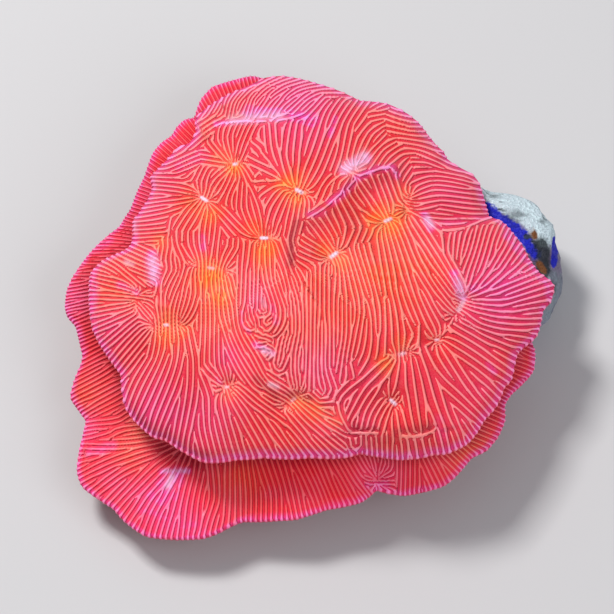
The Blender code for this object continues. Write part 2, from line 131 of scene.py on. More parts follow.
# The rock's radius and shoulder height, in metres, by direction in plan from +X towards +Y
ROCK_RADIUS = {
    0: 0.0275, 8: 0.0300, 20: 0.0308, 37: 0.0262, 55: 0.0235, 90: 0.0195, 135: 0.0165,
    180: 0.0155, 225: 0.0155, 270: 0.0160, 315: 0.0165, 340: 0.0195, 352: 0.0240,
}
ROCK_SHOULDER = {
    0: 0.0085, 8: 0.0100, 20: 0.0112, 37: 0.0104, 55: 0.0085, 90: 0.0062, 180: 0.0055,
    270: 0.0055, 330: 0.0058, 350: 0.0070,
}

# How soon the rock's top dishes in: it is level from 1 / dish of the way in
ROCK_DISH = 1.9

# The rock's side from its base up, as shares of its radius and of its shoulder height
ROCK_PROFILE = [(0.87, 0), (0.96, 0.14), (1.01, 0.34), (1.01, 0.58), (0.995, 0.80), (0.955, 0.94), (0.89, 1)]

# A swell of the rock's side in metres, with its direction and spread in degrees
ROCK_SWELL = 0.0012
ROCK_SWELL_DIRECTION, ROCK_SWELL_SPREAD = 32, 14

# The rock's lumps and pores: noise sizes and depths in metres, seeds, layers and shares
ROCK_TOP_FADE = 0.6
ROCK_BASE_FADE = 0.002
LUMP_SIZE, LUMP_SEED, LUMP_LAYERS = 0.0055, 3, 4
LUMP_PUSH = 1.4
PORE_SIZE, PORE_SEED, PORE_LAYERS = 0.0016, 8, 2
PORE_LEVEL = 0.45
PORE_DEPTH = 0.0009
DARK_PORE_DEPTH = 0.0002
HOLLOW_SINK = 0.5

# Patches on the rock in photo pixels: lines and spreads. The pale patch is painted highlight on the
# rock's lit top, and the blue one painted shadow where the coral's rim shades the rock
ROCK_PATCHES = {
    # Painted highlight on the rock's lit top
    "pale": [
        ([(481, 186), (496, 194), (515, 206), (535, 216), (547, 234)], 9), ([(546, 277), (547, 279)], 2.5),
    ],
    # Painted shadow where the coral's rim shades the rock
    "blue": [
        ([(486, 206), (494, 214), (504, 221), (516, 228), (526, 241), (536, 254)], 4.5),
        ([(556, 240), (554, 264)], 3),
    ],
    "dark": [
        ([(541, 244), (543, 256), (543, 274)], 6), ([(501, 203), (503, 214)], 1.6),
        ([(526, 236), (535, 243)], 2),
    ],
    "brown": [([(530, 228), (535, 236)], 3), ([(539, 264), (544, 271)], 3)],
}

# Pits at the mouths, and walls between them: the line along the top, its height in metres, and how far
# in photo pixels it spreads to the left and to the right of the line's run
PITS = [
    (235, 164), (300, 191), (205, 199), (208, 267), (263, 238), (334, 255), (388, 220), (463, 303),
    (166, 325), (226, 387), (289, 402), (402, 355), (437, 340), (394, 403), (165, 243), (137, 300),
    (408, 208),
]
PIT_DEPTH = 0.0006
PIT_SPREAD = 9
WALL_END_REACH = 12
WALL_END_DROP = 0.85
WALLS = [
    ([(300, 275), (292, 262), (293, 250), (298, 235), (303, 220), (325, 211), (331, 200), (348, 185),
      (352, 172), (395, 168), (400, 190)], 0.0013, 5, 16),
    ([(190, 150), (200, 137), (215, 125), (240, 120), (290, 118), (320, 108)], 0.0010, 6, 9),
    ([(165, 245), (155, 262), (150, 280), (140, 292)], 0.0007, 6, 6),
    ([(426, 217), (441, 231), (460, 229), (488, 225)], 0.0009, 6, 8),
    ([(426, 217), (441, 231), (446, 250), (458, 272), (463, 290)], 0.0007, 6, 6),
    ([(348, 436), (380, 434), (410, 437), (433, 432)], 0.0007, 14, 4),
]

# Mouths in photo pixels: x, y, tilt in degrees anticlockwise, half length of the slit that the ribs
# run out from, half length of the pale lips, and how white the lips are
MOUTHS = [
    (235, 164, 10, 1, 2.6, 0.9), (299, 191, -30, 3, 5.0, 1.0), (204, 199, -34, 3, 5.0, 1.0),
    (211, 268, -10, 14, 4.0, 0.6), (264, 238, 0, 4, 5.0, 1.0), (334, 255, 38, 4, 6.0, 1.0),
    (388, 220, 26, 3, 5.0, 1.0), (461, 306, 60, 8, 9.0, 0.5), (166, 325, 0, 12, 2.6, 0.8),
    (227, 387, 0, 1, 2.2, 0.7), (293, 400, 40, 7, 4.0, 0.4), (402, 354, 20, 7, 5.0, 0.6),
    (437, 340, 0, 1, 2.0, 0.8), (393, 402, -42, 3, 5.0, 0.9), (137, 298, 80, 3, 0, 0),
    (409, 204, 80, 5, 0, 0), (353, 172, 60, 2, 0, 0), (377, 482, 90, 2, 0, 0),
]

# Courses of ribs between the mouths, as seen in the photograph, in its pixels
COURSES = [
    [(187, 212), (174, 230), (175, 240), (184, 260)], [(194, 210), (180, 233), (179, 243), (192, 260)],
    [(201, 210), (191, 230), (191, 243), (201, 262)], [(207, 218), (204, 235), (204, 248), (209, 263)],
    [(216, 218), (213, 243), (211, 262)], [(219, 216), (236, 237), (235, 246), (223, 264)],
    [(215, 206), (242, 235), (255, 238)], [(228, 211), (249, 234)], [(209, 180), (209, 196)],
    [(235, 180), (219, 201)], [(205, 172), (200, 182), (202, 194)], [(244, 184), (240, 210), (250, 230)],
    [(246, 183), (245, 209), (258, 234)], [(247, 180), (260, 207), (262, 234)],
    [(197, 195), (180, 192), (153, 189)], [(187, 198), (166, 201), (148, 204)], [(176, 210), (146, 216)],
    [(168, 218), (149, 220)], [(163, 225), (139, 227)], [(166, 232), (135, 234)],
    [(132, 251), (150, 260)], [(130, 262), (150, 270)], [(130, 270), (148, 276)],
    [(184, 268), (172, 300)], [(175, 258), (178, 270), (164, 292)], [(188, 270), (180, 300)],
    [(194, 269), (197, 300)], [(206, 270), (209, 300)], [(215, 271), (217, 300)],
    [(224, 275), (231, 300)], [(233, 275), (237, 300)], [(242, 260), (240, 300)],
    [(250, 243), (246, 269), (245, 300)], [(255, 243), (253, 300)], [(264, 244), (267, 300)],
    [(270, 243), (270, 269), (273, 300)], [(276, 243), (285, 269), (294, 300)],
    [(285, 241), (292, 260), (306, 280)], [(265, 234), (268, 209), (277, 196)],
    [(271, 232), (273, 218), (282, 202), (286, 195)], [(276, 234), (280, 218), (287, 202)],
    [(285, 231), (290, 211), (291, 200)], [(288, 235), (294, 216), (295, 200)],
    [(301, 201), (297, 216), (290, 243), (291, 256)], [(306, 201), (304, 216)], [(306, 220), (329, 248)],
    [(313, 218), (333, 247)], [(325, 214), (339, 237), (337, 248)], [(335, 202), (347, 225), (344, 243)],
    [(338, 198), (355, 229), (347, 243)], [(345, 193), (363, 227), (355, 244)], [(299, 235), (327, 251)],
    [(295, 244), (320, 256)], [(294, 254), (316, 262)], [(293, 260), (310, 270)],
    [(316, 265), (315, 300)], [(310, 270), (306, 283)], [(320, 266), (320, 300)],
    [(329, 262), (328, 300)], [(336, 265), (335, 300)], [(345, 259), (350, 283), (354, 300)],
    [(350, 251), (359, 278), (365, 300)], [(356, 244), (365, 269), (374, 300)],
    [(377, 230), (368, 243), (372, 260), (379, 287)], [(378, 220), (367, 216), (345, 192)],
    [(358, 178), (372, 198), (383, 213)], [(371, 174), (382, 200), (386, 212)],
    [(387, 172), (394, 188), (398, 200)], [(376, 231), (382, 267), (386, 303), (383, 330)],
    [(384, 228), (394, 267), (400, 303), (406, 330)], [(393, 228), (406, 267), (418, 303), (428, 330)],
    [(400, 222), (418, 267), (438, 297), (454, 315)], [(410, 221), (431, 255), (455, 291)],
    [(422, 219), (440, 248), (460, 273)], [(411, 182), (431, 175), (466, 176), (478, 182)],
    [(412, 197), (433, 188), (479, 195)], [(416, 205), (438, 200), (485, 205)],
    [(418, 211), (438, 208), (467, 215), (485, 215)], [(428, 217), (448, 219), (479, 218), (491, 217)],
    [(370, 169), (381, 150), (398, 141), (418, 145), (439, 154)],
    [(380, 167), (387, 156), (402, 146), (425, 150)], [(390, 165), (401, 154), (418, 152), (445, 166)],
    [(400, 172), (410, 160), (428, 162), (455, 172)],
    [(407, 183), (414, 172), (434, 170), (455, 178), (477, 183)],
    [(352, 156), (358, 134), (369, 121), (385, 118), (401, 125)],
    [(363, 154), (372, 134), (385, 125), (403, 130)], [(366, 156), (387, 132), (407, 134), (420, 140)],
    [(342, 154), (347, 123), (358, 107)], [(326, 134), (334, 112), (341, 102)],
    [(320, 188), (326, 156), (336, 123)], [(337, 159), (340, 134)], [(400, 128), (418, 127)],
    [(412, 138), (427, 137)], [(423, 147), (437, 150)], [(449, 233), (445, 250)],
    [(455, 233), (454, 255)], [(460, 232), (457, 255)], [(467, 229), (460, 257)],
    [(477, 227), (473, 249), (462, 271)], [(486, 227), (479, 255), (471, 279)],
    [(496, 231), (484, 273), (473, 288)], [(503, 238), (497, 255), (479, 279)],
    [(515, 251), (501, 273), (479, 292)], [(523, 260), (503, 279), (477, 296)],
    [(471, 300), (503, 301), (540, 289)], [(471, 306), (503, 313), (538, 308)],
    [(467, 309), (491, 318), (528, 319)], [(465, 313), (479, 325), (503, 330)],
    [(473, 294), (491, 291), (521, 279)], [(462, 319), (490, 333)], [(457, 325), (490, 344)],
    [(437, 330), (430, 319), (417, 290)], [(439, 312), (426, 290)], [(455, 310), (439, 290)],
    [(444, 340), (466, 352), (490, 370)], [(439, 344), (451, 366), (466, 388), (477, 402)],
    [(426, 349), (436, 369), (453, 388), (473, 406)], [(420, 356), (428, 375), (435, 402), (444, 424)],
    [(412, 358), (415, 379), (418, 415), (421, 430)], [(405, 359), (404, 397), (412, 430)],
    [(400, 359), (393, 393)], [(393, 358), (377, 375), (359, 397), (350, 415)],
    [(380, 366), (365, 376), (347, 388), (337, 397)], [(366, 438), (367, 456)], [(376, 438), (378, 457)],
    [(386, 437), (388, 459)], [(396, 438), (398, 459)], [(406, 440), (408, 459)],
    [(415, 440), (418, 457)], [(424, 438), (428, 455)], [(434, 434), (438, 452)],
    [(378, 390), (364, 412), (361, 428)], [(386, 398), (374, 416), (371, 430)],
    [(390, 408), (384, 420), (382, 431)], [(395, 410), (397, 422), (399, 433)],
    [(401, 405), (405, 420), (409, 433)], [(380, 379), (360, 402), (351, 419)], [(386, 308), (386, 352)],
    [(393, 300), (397, 317), (400, 335), (399, 351)], [(395, 290), (407, 321), (415, 335), (404, 351)],
    [(405, 290), (420, 326), (418, 347)], [(363, 290), (371, 312), (372, 335), (370, 357), (359, 375)],
    [(290, 290), (293, 335), (290, 370), (294, 388)], [(311, 290), (311, 344), (309, 388)],
    [(329, 290), (330, 344), (329, 370), (336, 386)], [(347, 290), (347, 335), (339, 379)],
    [(360, 290), (361, 312), (356, 335), (349, 361), (354, 376)], [(240, 335), (262, 379), (288, 391)],
    [(240, 357), (258, 386), (288, 402)], [(240, 384), (262, 402), (282, 415)],
    [(298, 399), (320, 415), (341, 423)], [(290, 405), (311, 422), (330, 436)],
    [(287, 410), (302, 424), (322, 445)], [(310, 395), (320, 404), (334, 402)],
    [(178, 328), (180, 352), (173, 379), (157, 415)], [(166, 330), (166, 352), (152, 379), (139, 410)],
    [(188, 330), (194, 357), (194, 388), (185, 430)], [(166, 323), (164, 290)], [(152, 317), (139, 303)],
    [(185, 321), (197, 299)], [(206, 290), (206, 335), (204, 366), (222, 383)],
    [(219, 290), (219, 366), (225, 379)], [(237, 290), (238, 330), (246, 357), (255, 375), (270, 393)],
    [(203, 379), (210, 395), (208, 430)], [(226, 391), (235, 410), (246, 430)],
    [(233, 386), (246, 402), (270, 417)], [(242, 385), (259, 402), (270, 409)], [(135, 297), (91, 294)],
    [(135, 305), (91, 313)], [(135, 292), (91, 281)], [(143, 286), (124, 269)], [(146, 263), (127, 255)],
    [(131, 313), (94, 329)], [(132, 321), (104, 345)], [(140, 330), (114, 359)],
    [(148, 334), (132, 354), (114, 375)], [(156, 337), (154, 357), (135, 384), (126, 410)],
    [(164, 337), (163, 357), (146, 391), (135, 418)], [(204, 430), (212, 458)], [(218, 418), (228, 456)],
    [(230, 418), (240, 454)], [(248, 407), (273, 453)], [(258, 407), (279, 436), (290, 452)],
    [(285, 430), (303, 452)], [(291, 410), (309, 436), (327, 454)], [(297, 407), (321, 430), (344, 448)],
    [(309, 406), (333, 424), (345, 433)], [(245, 123), (237, 147), (235, 160)],
    [(237, 124), (232, 136), (233, 155)], [(229, 125), (226, 136), (231, 154)],
    [(255, 124), (245, 147), (241, 160)], [(221, 129), (220, 139), (229, 157)], [(214, 145), (226, 159)],
    [(224, 163), (200, 158), (191, 162)], [(229, 167), (209, 182), (204, 192)],
    [(233, 172), (227, 192), (225, 200)], [(241, 168), (251, 192)], [(268, 121), (270, 152), (282, 177)],
    [(275, 121), (278, 152), (287, 180)], [(290, 122), (284, 157), (290, 177)],
    [(296, 123), (291, 157), (293, 177)], [(304, 131), (298, 162), (297, 180)],
    [(321, 121), (310, 152), (301, 179)], [(329, 118), (318, 157), (305, 180)],
    [(340, 131), (326, 162), (312, 182)], [(340, 152), (331, 172), (316, 187)], [(231, 104), (229, 118)],
    [(251, 99), (247, 116)], [(272, 92), (260, 109), (255, 119)], [(292, 90), (278, 104), (272, 116)],
    [(308, 97), (295, 113)], [(323, 98), (308, 116)], [(232, 96), (240, 87), (250, 84)],
    [(240, 100), (252, 88), (272, 78)], [(256, 97), (268, 86), (292, 77)],
    [(272, 95), (285, 87), (312, 80)], [(290, 95), (302, 88), (325, 85)],
    [(308, 97), (322, 92), (345, 93)],
]

# Crests that wind between the courses, and crests along the walls where the ribs of two mouths meet
WINDINGS = [
    [(246, 280), (245, 303), (242, 311), (241, 323), (245, 330), (251, 332), (256, 330)],
    [(251, 280), (250, 295), (251, 311), (254, 317), (256, 323), (256, 330), (261, 334), (267, 334),
     (273, 337), (278, 335), (284, 327), (287, 318), (286, 309), (283, 303), (280, 294), (275, 280)],
    [(248, 305), (249, 321), (253, 325)],
    [(258, 280), (257, 311), (260, 315), (265, 317), (271, 314), (272, 308), (269, 299), (265, 288),
     (263, 280)], [(265, 317), (263, 320), (263, 324), (265, 327), (269, 326)],
    [(267, 280), (275, 303), (277, 312), (277, 318), (274, 325), (269, 332)],
    [(281, 305), (281, 314), (280, 323), (275, 333)],
    [(248, 336), (254, 349), (260, 349), (266, 347), (273, 350), (274, 355), (270, 358)],
    [(278, 338), (277, 345), (275, 356), (273, 364), (274, 370), (278, 374), (283, 371), (287, 363),
     (293, 346), (296, 330)], [(254, 349), (263, 361), (267, 370), (274, 375), (278, 376)],
    [(220, 321), (230, 349), (243, 376), (251, 387), (263, 395)],
    [(230, 330), (238, 349), (251, 370), (263, 387), (274, 396)],
    [(240, 334), (253, 353), (261, 372), (267, 382), (278, 388)],
    [(244, 163), (256, 168), (264, 172), (271, 175), (282, 180)],
    [(251, 158), (260, 162), (269, 165), (276, 170)], [(249, 168), (254, 177), (259, 172)],
    [(256, 182), (264, 180), (269, 182), (276, 181)], [(259, 196), (266, 190), (272, 186), (278, 184)],
    [(252, 142), (260, 147), (262, 154), (270, 163), (274, 168)],
    [(350, 440), (351, 448), (357, 451), (361, 446), (361, 436)],
    [(336, 398), (338, 412), (344, 423), (348, 432)],
]
WALL_CRESTS = [
    [(300, 278), (294, 266), (294, 250), (299, 235), (304, 220), (320, 212), (328, 206), (333, 200),
     (342, 194), (350, 185), (357, 178), (364, 173), (376, 169), (392, 167), (396, 171), (396, 178),
     (399, 186), (404, 202)],
    [(196, 140), (206, 131), (216, 125), (225, 122), (250, 121), (271, 121), (291, 118), (304, 114)],
    [(404, 202), (409, 211), (416, 215), (425, 219), (431, 224), (437, 229), (442, 231), (455, 230),
     (464, 229), (470, 225), (488, 218)],
    [(437, 229), (442, 235), (443, 245), (443, 253), (448, 262), (456, 276), (463, 290)],
    [(170, 218), (169, 230), (168, 237), (169, 245), (166, 255)], [(347, 434), (364, 433), (376, 433)],
    [(404, 437), (421, 436), (432, 432)],
]
LOWER_COURSES = [
    [(111, 377), (73, 397)], [(124, 391), (94, 408)], [(117, 400), (91, 413)], [(125, 425), (99, 424)],
    [(123, 420), (109, 434), (86, 439)], [(150, 441), (117, 445), (86, 443)],
    [(152, 449), (121, 458), (84, 475)], [(152, 458), (121, 471), (94, 492)],
    [(152, 465), (131, 487), (117, 502)], [(162, 480), (142, 502), (131, 522)],
    [(175, 482), (157, 510), (149, 533)], [(182, 480), (174, 507), (168, 528)],
    [(193, 478), (186, 502), (183, 533)], [(203, 478), (198, 502), (196, 528)],
    [(212, 468), (216, 497), (208, 520)], [(230, 468), (230, 509)], [(248, 468), (252, 491), (251, 519)],
    [(268, 468), (277, 491), (277, 519)], [(285, 468), (292, 491), (297, 516)],
    [(303, 468), (315, 491), (321, 509)], [(321, 463), (331, 485), (339, 505)],
    [(333, 461), (345, 485), (356, 503)], [(345, 457), (357, 479), (370, 494)], [(410, 463), (410, 492)],
    [(430, 462), (440, 484)], [(450, 458), (460, 468)], [(481, 430), (500, 438)],
]

# Rib spacing, in photo pixels, at places in the photograph: x, y, spacing
UPPER_SPACING = [
    (235, 140, 5.6), (262, 145, 6.4), (295, 150, 7.4), (325, 150, 6.4), (205, 235, 6.3), (240, 200, 5.8),
    (262, 215, 6.0), (320, 225, 6.2), (360, 205, 6.9), (392, 190, 6.6), (410, 150, 5.4), (450, 190, 5.6),
    (290, 95, 4.6), (240, 105, 4.2), (440, 270, 5.6), (400, 260, 6.5), (350, 300, 5.6), (310, 340, 4.9),
    (265, 320, 4.8), (230, 340, 5.4), (260, 375, 5.2), (180, 370, 6.6), (115, 300, 5.4), (120, 350, 5.6),
    (155, 200, 5.1), (190, 180, 5.4), (145, 270, 5.2), (230, 430, 6.5), (290, 435, 6.4), (330, 420, 5.4),
    (400, 385, 9.0), (430, 395, 8.8), (370, 400, 7.6), (460, 370, 7.6), (490, 330, 6.4), (500, 290, 6.2),
    (480, 250, 5.8), (400, 430, 7.6), (480, 420, 6.0), (380, 440, 5.6),
]
LOWER_SPACING = [
    (75, 300, 4.8), (90, 390, 5.2), (110, 470, 5.7), (160, 510, 6.3), (200, 500, 6.0), (260, 490, 5.8),
    (320, 490, 5.8), (370, 470, 5.2), (430, 470, 5.6), (500, 430, 5.6), (525, 370, 5.0), (200, 110, 5.0),
]
SPACING_SPREAD = 20
MOUTH_SPACING = 3.4
MOUTH_SPACING_REACH = 11

# The ribs grow at wider + share times the filters' own spacing, and a crest is so many pixels wide
GROWN_WIDER, GROWN_SHARE = 1.9, 0.82
CREST_WIDTH = 2.3
LEAST_SPACING, MOST_SPACING = 4.6, 10

# Colour places in photo pixels. Warm halos: x, y, spread, strength. Lilac streaks, a painted violet highlight
# on raised crests: line, spread, strength
HALOS = [
    (235, 169, 6, 1.0), (224, 160, 8, 0.6), (286, 187, 8, 1.0), (297, 201, 6, 0.9), (300, 180, 9, 0.5),
    (208, 214, 8, 0.8), (192, 200, 8, 0.4), (212, 279, 11, 1.0), (221, 295, 12, 0.8), (202, 262, 6, 0.5),
    (266, 250, 8, 1.0), (264, 262, 8, 0.6), (256, 229, 8, 0.4), (341, 262, 7, 0.7), (325, 250, 6, 0.5),
    (385, 228, 10, 0.9), (400, 214, 8, 0.7), (373, 222, 6, 0.7), (385, 207, 6, 0.4), (160, 241, 6, 1.0),
    (300, 402, 7, 0.9), (318, 412, 8, 0.9), (335, 421, 7, 0.8), (385, 365, 7, 0.9), (401, 345, 6, 0.6),
    (166, 336, 9, 0.7), (166, 317, 7, 0.5), (184, 330, 6, 0.4), (226, 394, 7, 0.5), (350, 280, 40, 0.28),
    (400, 260, 34, 0.30), (118, 300, 14, 0.35), (218, 330, 20, 0.3), (405, 190, 8, 0.4),
    (160, 210, 14, 0.3),
]
UPPER_LILAC_HIGHLIGHTS = [
    ([(250, 113), (285, 112), (312, 119)], 6.5, 0.95), ([(344, 169), (366, 158)], 4, 1.0),
    ([(152, 256), (155, 280)], 4.5, 1.0), ([(425, 214), (431, 228)], 3.5, 0.9),
    ([(455, 274), (463, 297)], 4, 0.9), ([(473, 290), (518, 280)], 7, 0.7),
    ([(508, 234), (528, 262), (548, 286)], 6, 0.75), ([(545, 286), (552, 302)], 6, 0.7),
    ([(335, 118), (330, 135)], 2.5, 0.8), ([(178, 166), (200, 155)], 7, 0.4),
    ([(93, 264), (92, 330)], 4, 0.6), ([(310, 214), (322, 212)], 3.5, 0.6),
    ([(203, 238), (203, 248)], 3, 0.6), ([(435, 225), (485, 218)], 5, 0.45),
    ([(205, 108), (228, 98)], 5, 0.4), ([(120, 285), (137, 292)], 3, 0.5),
    ([(488, 364), (494, 372)], 3, 0.6), ([(440, 420), (446, 450)], 6, 0.3),
    ([(216, 378), (221, 383)], 2.5, 0.4),
    ([(330, 203), (342, 194), (357, 178), (376, 169), (392, 167), (397, 176)], 3, 0.8),
    ([(216, 124), (250, 120), (296, 119), (312, 125)], 2.5, 0.85),
    ([(255, 345), (266, 350), (272, 354)], 3, 0.7), ([(242, 312), (242, 324), (249, 332)], 2, 0.5),
    ([(272, 306), (276, 322)], 3, 0.4),
]
LOWER_LILAC_HIGHLIGHTS = [
    ([(150, 497), (164, 480)], 5, 0.75), ([(162, 500), (176, 476)], 6, 1.0),
    ([(174, 498), (180, 480)], 4, 0.7), ([(145, 508), (200, 530)], 7, 0.6),
    ([(90, 452), (112, 446)], 4, 0.6), ([(162, 472), (188, 471)], 2.5, 1.0),
    ([(72, 280), (70, 310)], 4, 0.5), ([(368, 486), (386, 484)], 4, 0.6),
    ([(95, 250), (110, 240)], 4, 0.5),
]
LOWER_HALOS = [
    (130, 455, 14, 0.35), (140, 430, 10, 0.4), (90, 395, 14, 0.3), (235, 480, 20, 0.25), (470, 450, 20, 0.45),
]

# The painted violet highlight along the rims in photo pixels and shares, and the way the key light's shadows
# fall
EDGE_HIGHLIGHT_REACH = 5
UPPER_EDGE_HIGHLIGHT, LOWER_EDGE_HIGHLIGHT = 0.75, 0.7
LOWER_HIGHLIGHT_SHARE = 0.7
AWAY_FROM_KEY = (0.62, 0.78)
FACING_GAIN = 1.6

# Broad painted highlight: x, y, spread, strength. Pale places, and painted shade on slopes turned from the
# light and under rims: line, spread, strength
UPPER_PINK_HIGHLIGHTS = [
    (150, 410, 28, 0.5), (230, 355, 12, 0.5), (320, 370, 22, 0.4), (505, 290, 30, 0.9),
    (450, 190, 30, 0.4), (300, 92, 34, 0.75), (150, 205, 16, 0.5), (110, 330, 18, 0.45),
    (480, 400, 26, 0.3), (256, 300, 12, 0.4), (350, 430, 20, 0.3), (370, 380, 12, 0.25),
    (200, 430, 30, 0.35), (165, 168, 14, 0.4),
]
LOWER_PINK_HIGHLIGHTS = [
    (85, 430, 12, 0.5), (150, 500, 20, 0.45), (180, 530, 25, 0.5), (110, 480, 14, 0.25),
    (75, 300, 14, 0.5), (130, 200, 20, 0.4), (380, 480, 16, 0.3),
]
UPPER_PALES = [
    ([(346, 168), (356, 164), (364, 157)], 4.5, 0.6), ([(270, 384), (277, 387)], 1.8, 0.7),
    ([(264, 350), (271, 354)], 2.5, 0.5), ([(427, 219), (431, 225)], 2.5, 0.6),
    ([(458, 280), (462, 296)], 3, 0.4), ([(153, 260), (154, 278)], 3.5, 0.5),
    ([(126, 262), (132, 264)], 2, 0.4), ([(262, 300), (265, 306)], 1.5, 0.4),
    ([(232, 120), (256, 117), (280, 116)], 3.5, 0.4), ([(133, 222), (134, 232)], 2, 0.4),
    ([(148, 180), (151, 186)], 3, 0.3),
]
LOWER_PALES = [([(168, 486), (172, 477)], 2.5, 0.6), ([(164, 471), (186, 471)], 1.4, 0.35)]
UPPER_PAINTED_SHADES = [
    ([(297, 222), (291, 240), (291, 262)], 3, 0.75),
    ([(346, 197), (360, 185), (376, 178), (392, 176)], 7, 0.4),
    ([(306, 226), (322, 218), (338, 208)], 6, 0.4), ([(348, 210), (356, 228)], 8, 0.3),
    ([(276, 396), (262, 384), (256, 378)], 2.5, 0.5), ([(290, 394), (310, 398)], 3, 0.55),
    ([(190, 452), (205, 455)], 4, 0.5), ([(125, 412), (150, 432), (180, 448)], 5, 0.45),
    ([(352, 430), (376, 429)], 3, 0.5), ([(395, 432), (430, 428)], 3.5, 0.5),
    ([(345, 190), (352, 180)], 2, 0.6),
]
LOWER_PAINTED_SHADES = [([(162, 446), (180, 456), (200, 464)], 6, 0.8)]

# The lower plate's painted shade under the upper rim, and the side in degrees where it is weaker
RIM_SHADOW_REACH, RIM_SHADOW_STRENGTH = 7, 0.6
OPEN_DIRECTION, OPEN_SPREAD, OPEN_SHARE = 130, 40, 0.75

# What a mouth's lips look like: the line they lie along, their edge and width, and the calm round them
LIPS_LINE_SHARE = 0.55
LIPS_EDGE = 1.6
LIPS_WIDTH, LIPS_WIDENING = 0.8, 0.14
CALM_REACH, CALM_SHARE = 2.2, 0.85

# What each guide to the ribs' directions counts for, and how far it reaches in photo pixels
OUTWARD_WEIGHT = 2e-7
MOUTH_WEIGHT, MOUTH_REACH = 0.02, 5
FAR_MOUTH_WEIGHT, FAR_MOUTH_REACH = 6e-7, 40
COURSE_SOFTENING = 2.5

# The wave field that the ribs are grown in: step in photo pixels, cells a side, its left and top
FIELD_STEP = 0.8
FIELD_SIDE = 640
FIELD_LEFT, FIELD_TOP = 50, 50
COARSE = 2

# Its filters' directions, spacings and spreads, its rounds, and how hard the drawn lines pull
FIELD_TURNS = 16
FIELD_WAVES = [3.2, 4.2, 5.4, 7.0, 9.0]
FIELD_ROUNDS = 11
HELD_ROUNDS = 7
ALONG_SPREAD = 0.95
ACROSS_SPREAD = 0.6
COURSE_PIN = 1.2
WINDING_PIN = 4.0
DRAWN_SPREAD, DRAWN_MARGIN = 0.9, 2.2
FIRST_NOISE, FIRST_PULL = 0.3, 5
PRESS = 1.6
LEVEL_SPREAD = 5
STRENGTH_SPREAD = 6
UPPER_SEED, LOWER_SEED = 11, 12
TINY = 1e-9

# How finely the skins are drawn, how their grids are bent, and how places slide to the crests
UPPER_CELLS = (320, 264)
LOWER_COLUMNS = 1500
LOWER_RINGS = 42
ROCK_COLUMNS = 360
ROCK_SIDE_RINGS, ROCK_TOP_RINGS = 60, 24
EVEN_BLUR = 14
RIM_BLEND = 4
TOP_ROUNDS = 40
SLIDE = 0.75
SLIDE_START, SLIDE_END = 1.0, 1.5
LONGEST_SLIDE = 0.85
SLOPE_FLOOR, STEEP_FLOOR = 0.02, 0.05
LEAST_SLOPE = 1e-6

# How the ribs stand on the plates, and how the lower plate goes on below the upper rim
RIB_BASE = 0.42
STRENGTH_GAIN = 1.25
LOWER_RIB_SHARE = 0.85
LOWER_FADE_START, LOWER_FADE_REACH = 14, 8
UNDER_OVERLAP = 0.05
COVERED_START, COVERED_END, COVERED_RINGS = 0.9, 0.1, 14
COVERED_HALVINGS = (1, 4)

# The lip's steps outwards and downwards in millimetres, how far crests stand out of it, and its painted
# violet highlight
LIP = [(0.10, 0.05), (0.16, 0.22), (0.15, 0.45), (0.06, 0.75), (-0.12, 1.0), (-0.4, 1.2)]
LIP_RIB = 0.16
LIP_HIGHLIGHT = 0.8
MILLIMETRE = 0.001
RIM_INSET = LIP[1][0] * MILLIMETRE / PIXEL

# The underside's rings from the lip to the stalk and down it, and its spokes
UNDER_START, UNDER_RINGS = 0.97, 16
STALK_START, STALK_RINGS = 0.92, 12
UNDER_HALVINGS = (0, 3, 12)
RIM_JOIN = 0.8
STALK_POWER = 0.7
SPOKES, SPOKE_STRENGTH = 72, 0.6
SPOKE_SWAY, SPOKE_SWAYS = 0.8, 7

# Attributes of the parts that show no pattern: ribs, masks and tones, plain or in full painted shade
NO_RIBS = (0, 0, 0)
NO_MASKS = (0, 0, 0, 0)
UNDER_MASKS = (0, 0, 0, 1)
PLAIN_TONES = (0.1, 0, 0)
PAINTED_SHADE_TONES = (0.1, 1, 0)

# Fine noise: how a lattice corner's coordinates and seed are mixed, and the sine's size
LATTICE_MIX = (127.1, 311.7, 74.7)
LATTICE_SEED = 19.19
LATTICE_SINE = 43758.5453

# Repeats a metre of the materials' noises, and the bump's strengths and distances
MOTTLE_SCALE, LILAC_SCALE, GRAIN_SCALE = 260.0, 900.0, 5200.0
CRUST_SCALE, SPECKLE_SCALE, RAGGED_SCALE, STONE_SCALE = 330.0, 2600.0, 1500.0, 900.0
CORAL_BUMP, CORAL_BUMP_DISTANCE = 0.5, 0.00016
ROCK_BUMP, ROCK_BUMP_DISTANCE = 0.6, 0.00025

# The stage in metres. Lights: place, watts, size and colour
FLOOR_HALF = 3.0
LIGHTS = {
    "key": ((-0.20, 0.16, 0.42), 1.75, 0.12, (1, 0.98, 0.96)),
    "fill": ((0.28, -0.28, 0.35), 0.75, 0.35, (0.97, 0.97, 1)),
}
ROOM_COLOUR, ROOM_STRENGTH = (0.95, 0.96, 1.0, 1), 0.28
CAMERA_SENSOR = 36

DEGREES = np.arange(0, 360, 0.25)


def ease(share):
    """3s² - 2s³, which goes from 0 to 1 with no slope at either end."""
    share = np.clip(share, 0, 1)
    return share * share * (3 - 2 * share)


def bell(gap, spread):
    """exp(-gap² / 2 spread²)."""
    return np.exp(-0.5 * (gap / spread) ** 2)


def round_table(entries, soften):
    """Values at every quarter degree: straight runs between the entries, blurred by that many degrees."""
    straight = np.interp(DEGREES, list(entries), list(entries.values()), period=360)
    away = np.minimum(DEGREES, 360 - DEGREES)
    kernel = bell(away, soften)
    return np.fft.ifft(np.fft.fft(straight) * np.fft.fft(kernel / kernel.sum())).real


def around(px, py):
    """Direction in degrees and distance in photo pixels from the colony's centre."""
    across, up = px - CENTRE[0], CENTRE[1] - py
    return np.degrees(np.arctan2(up, across)) % 360, np.hypot(across, up)


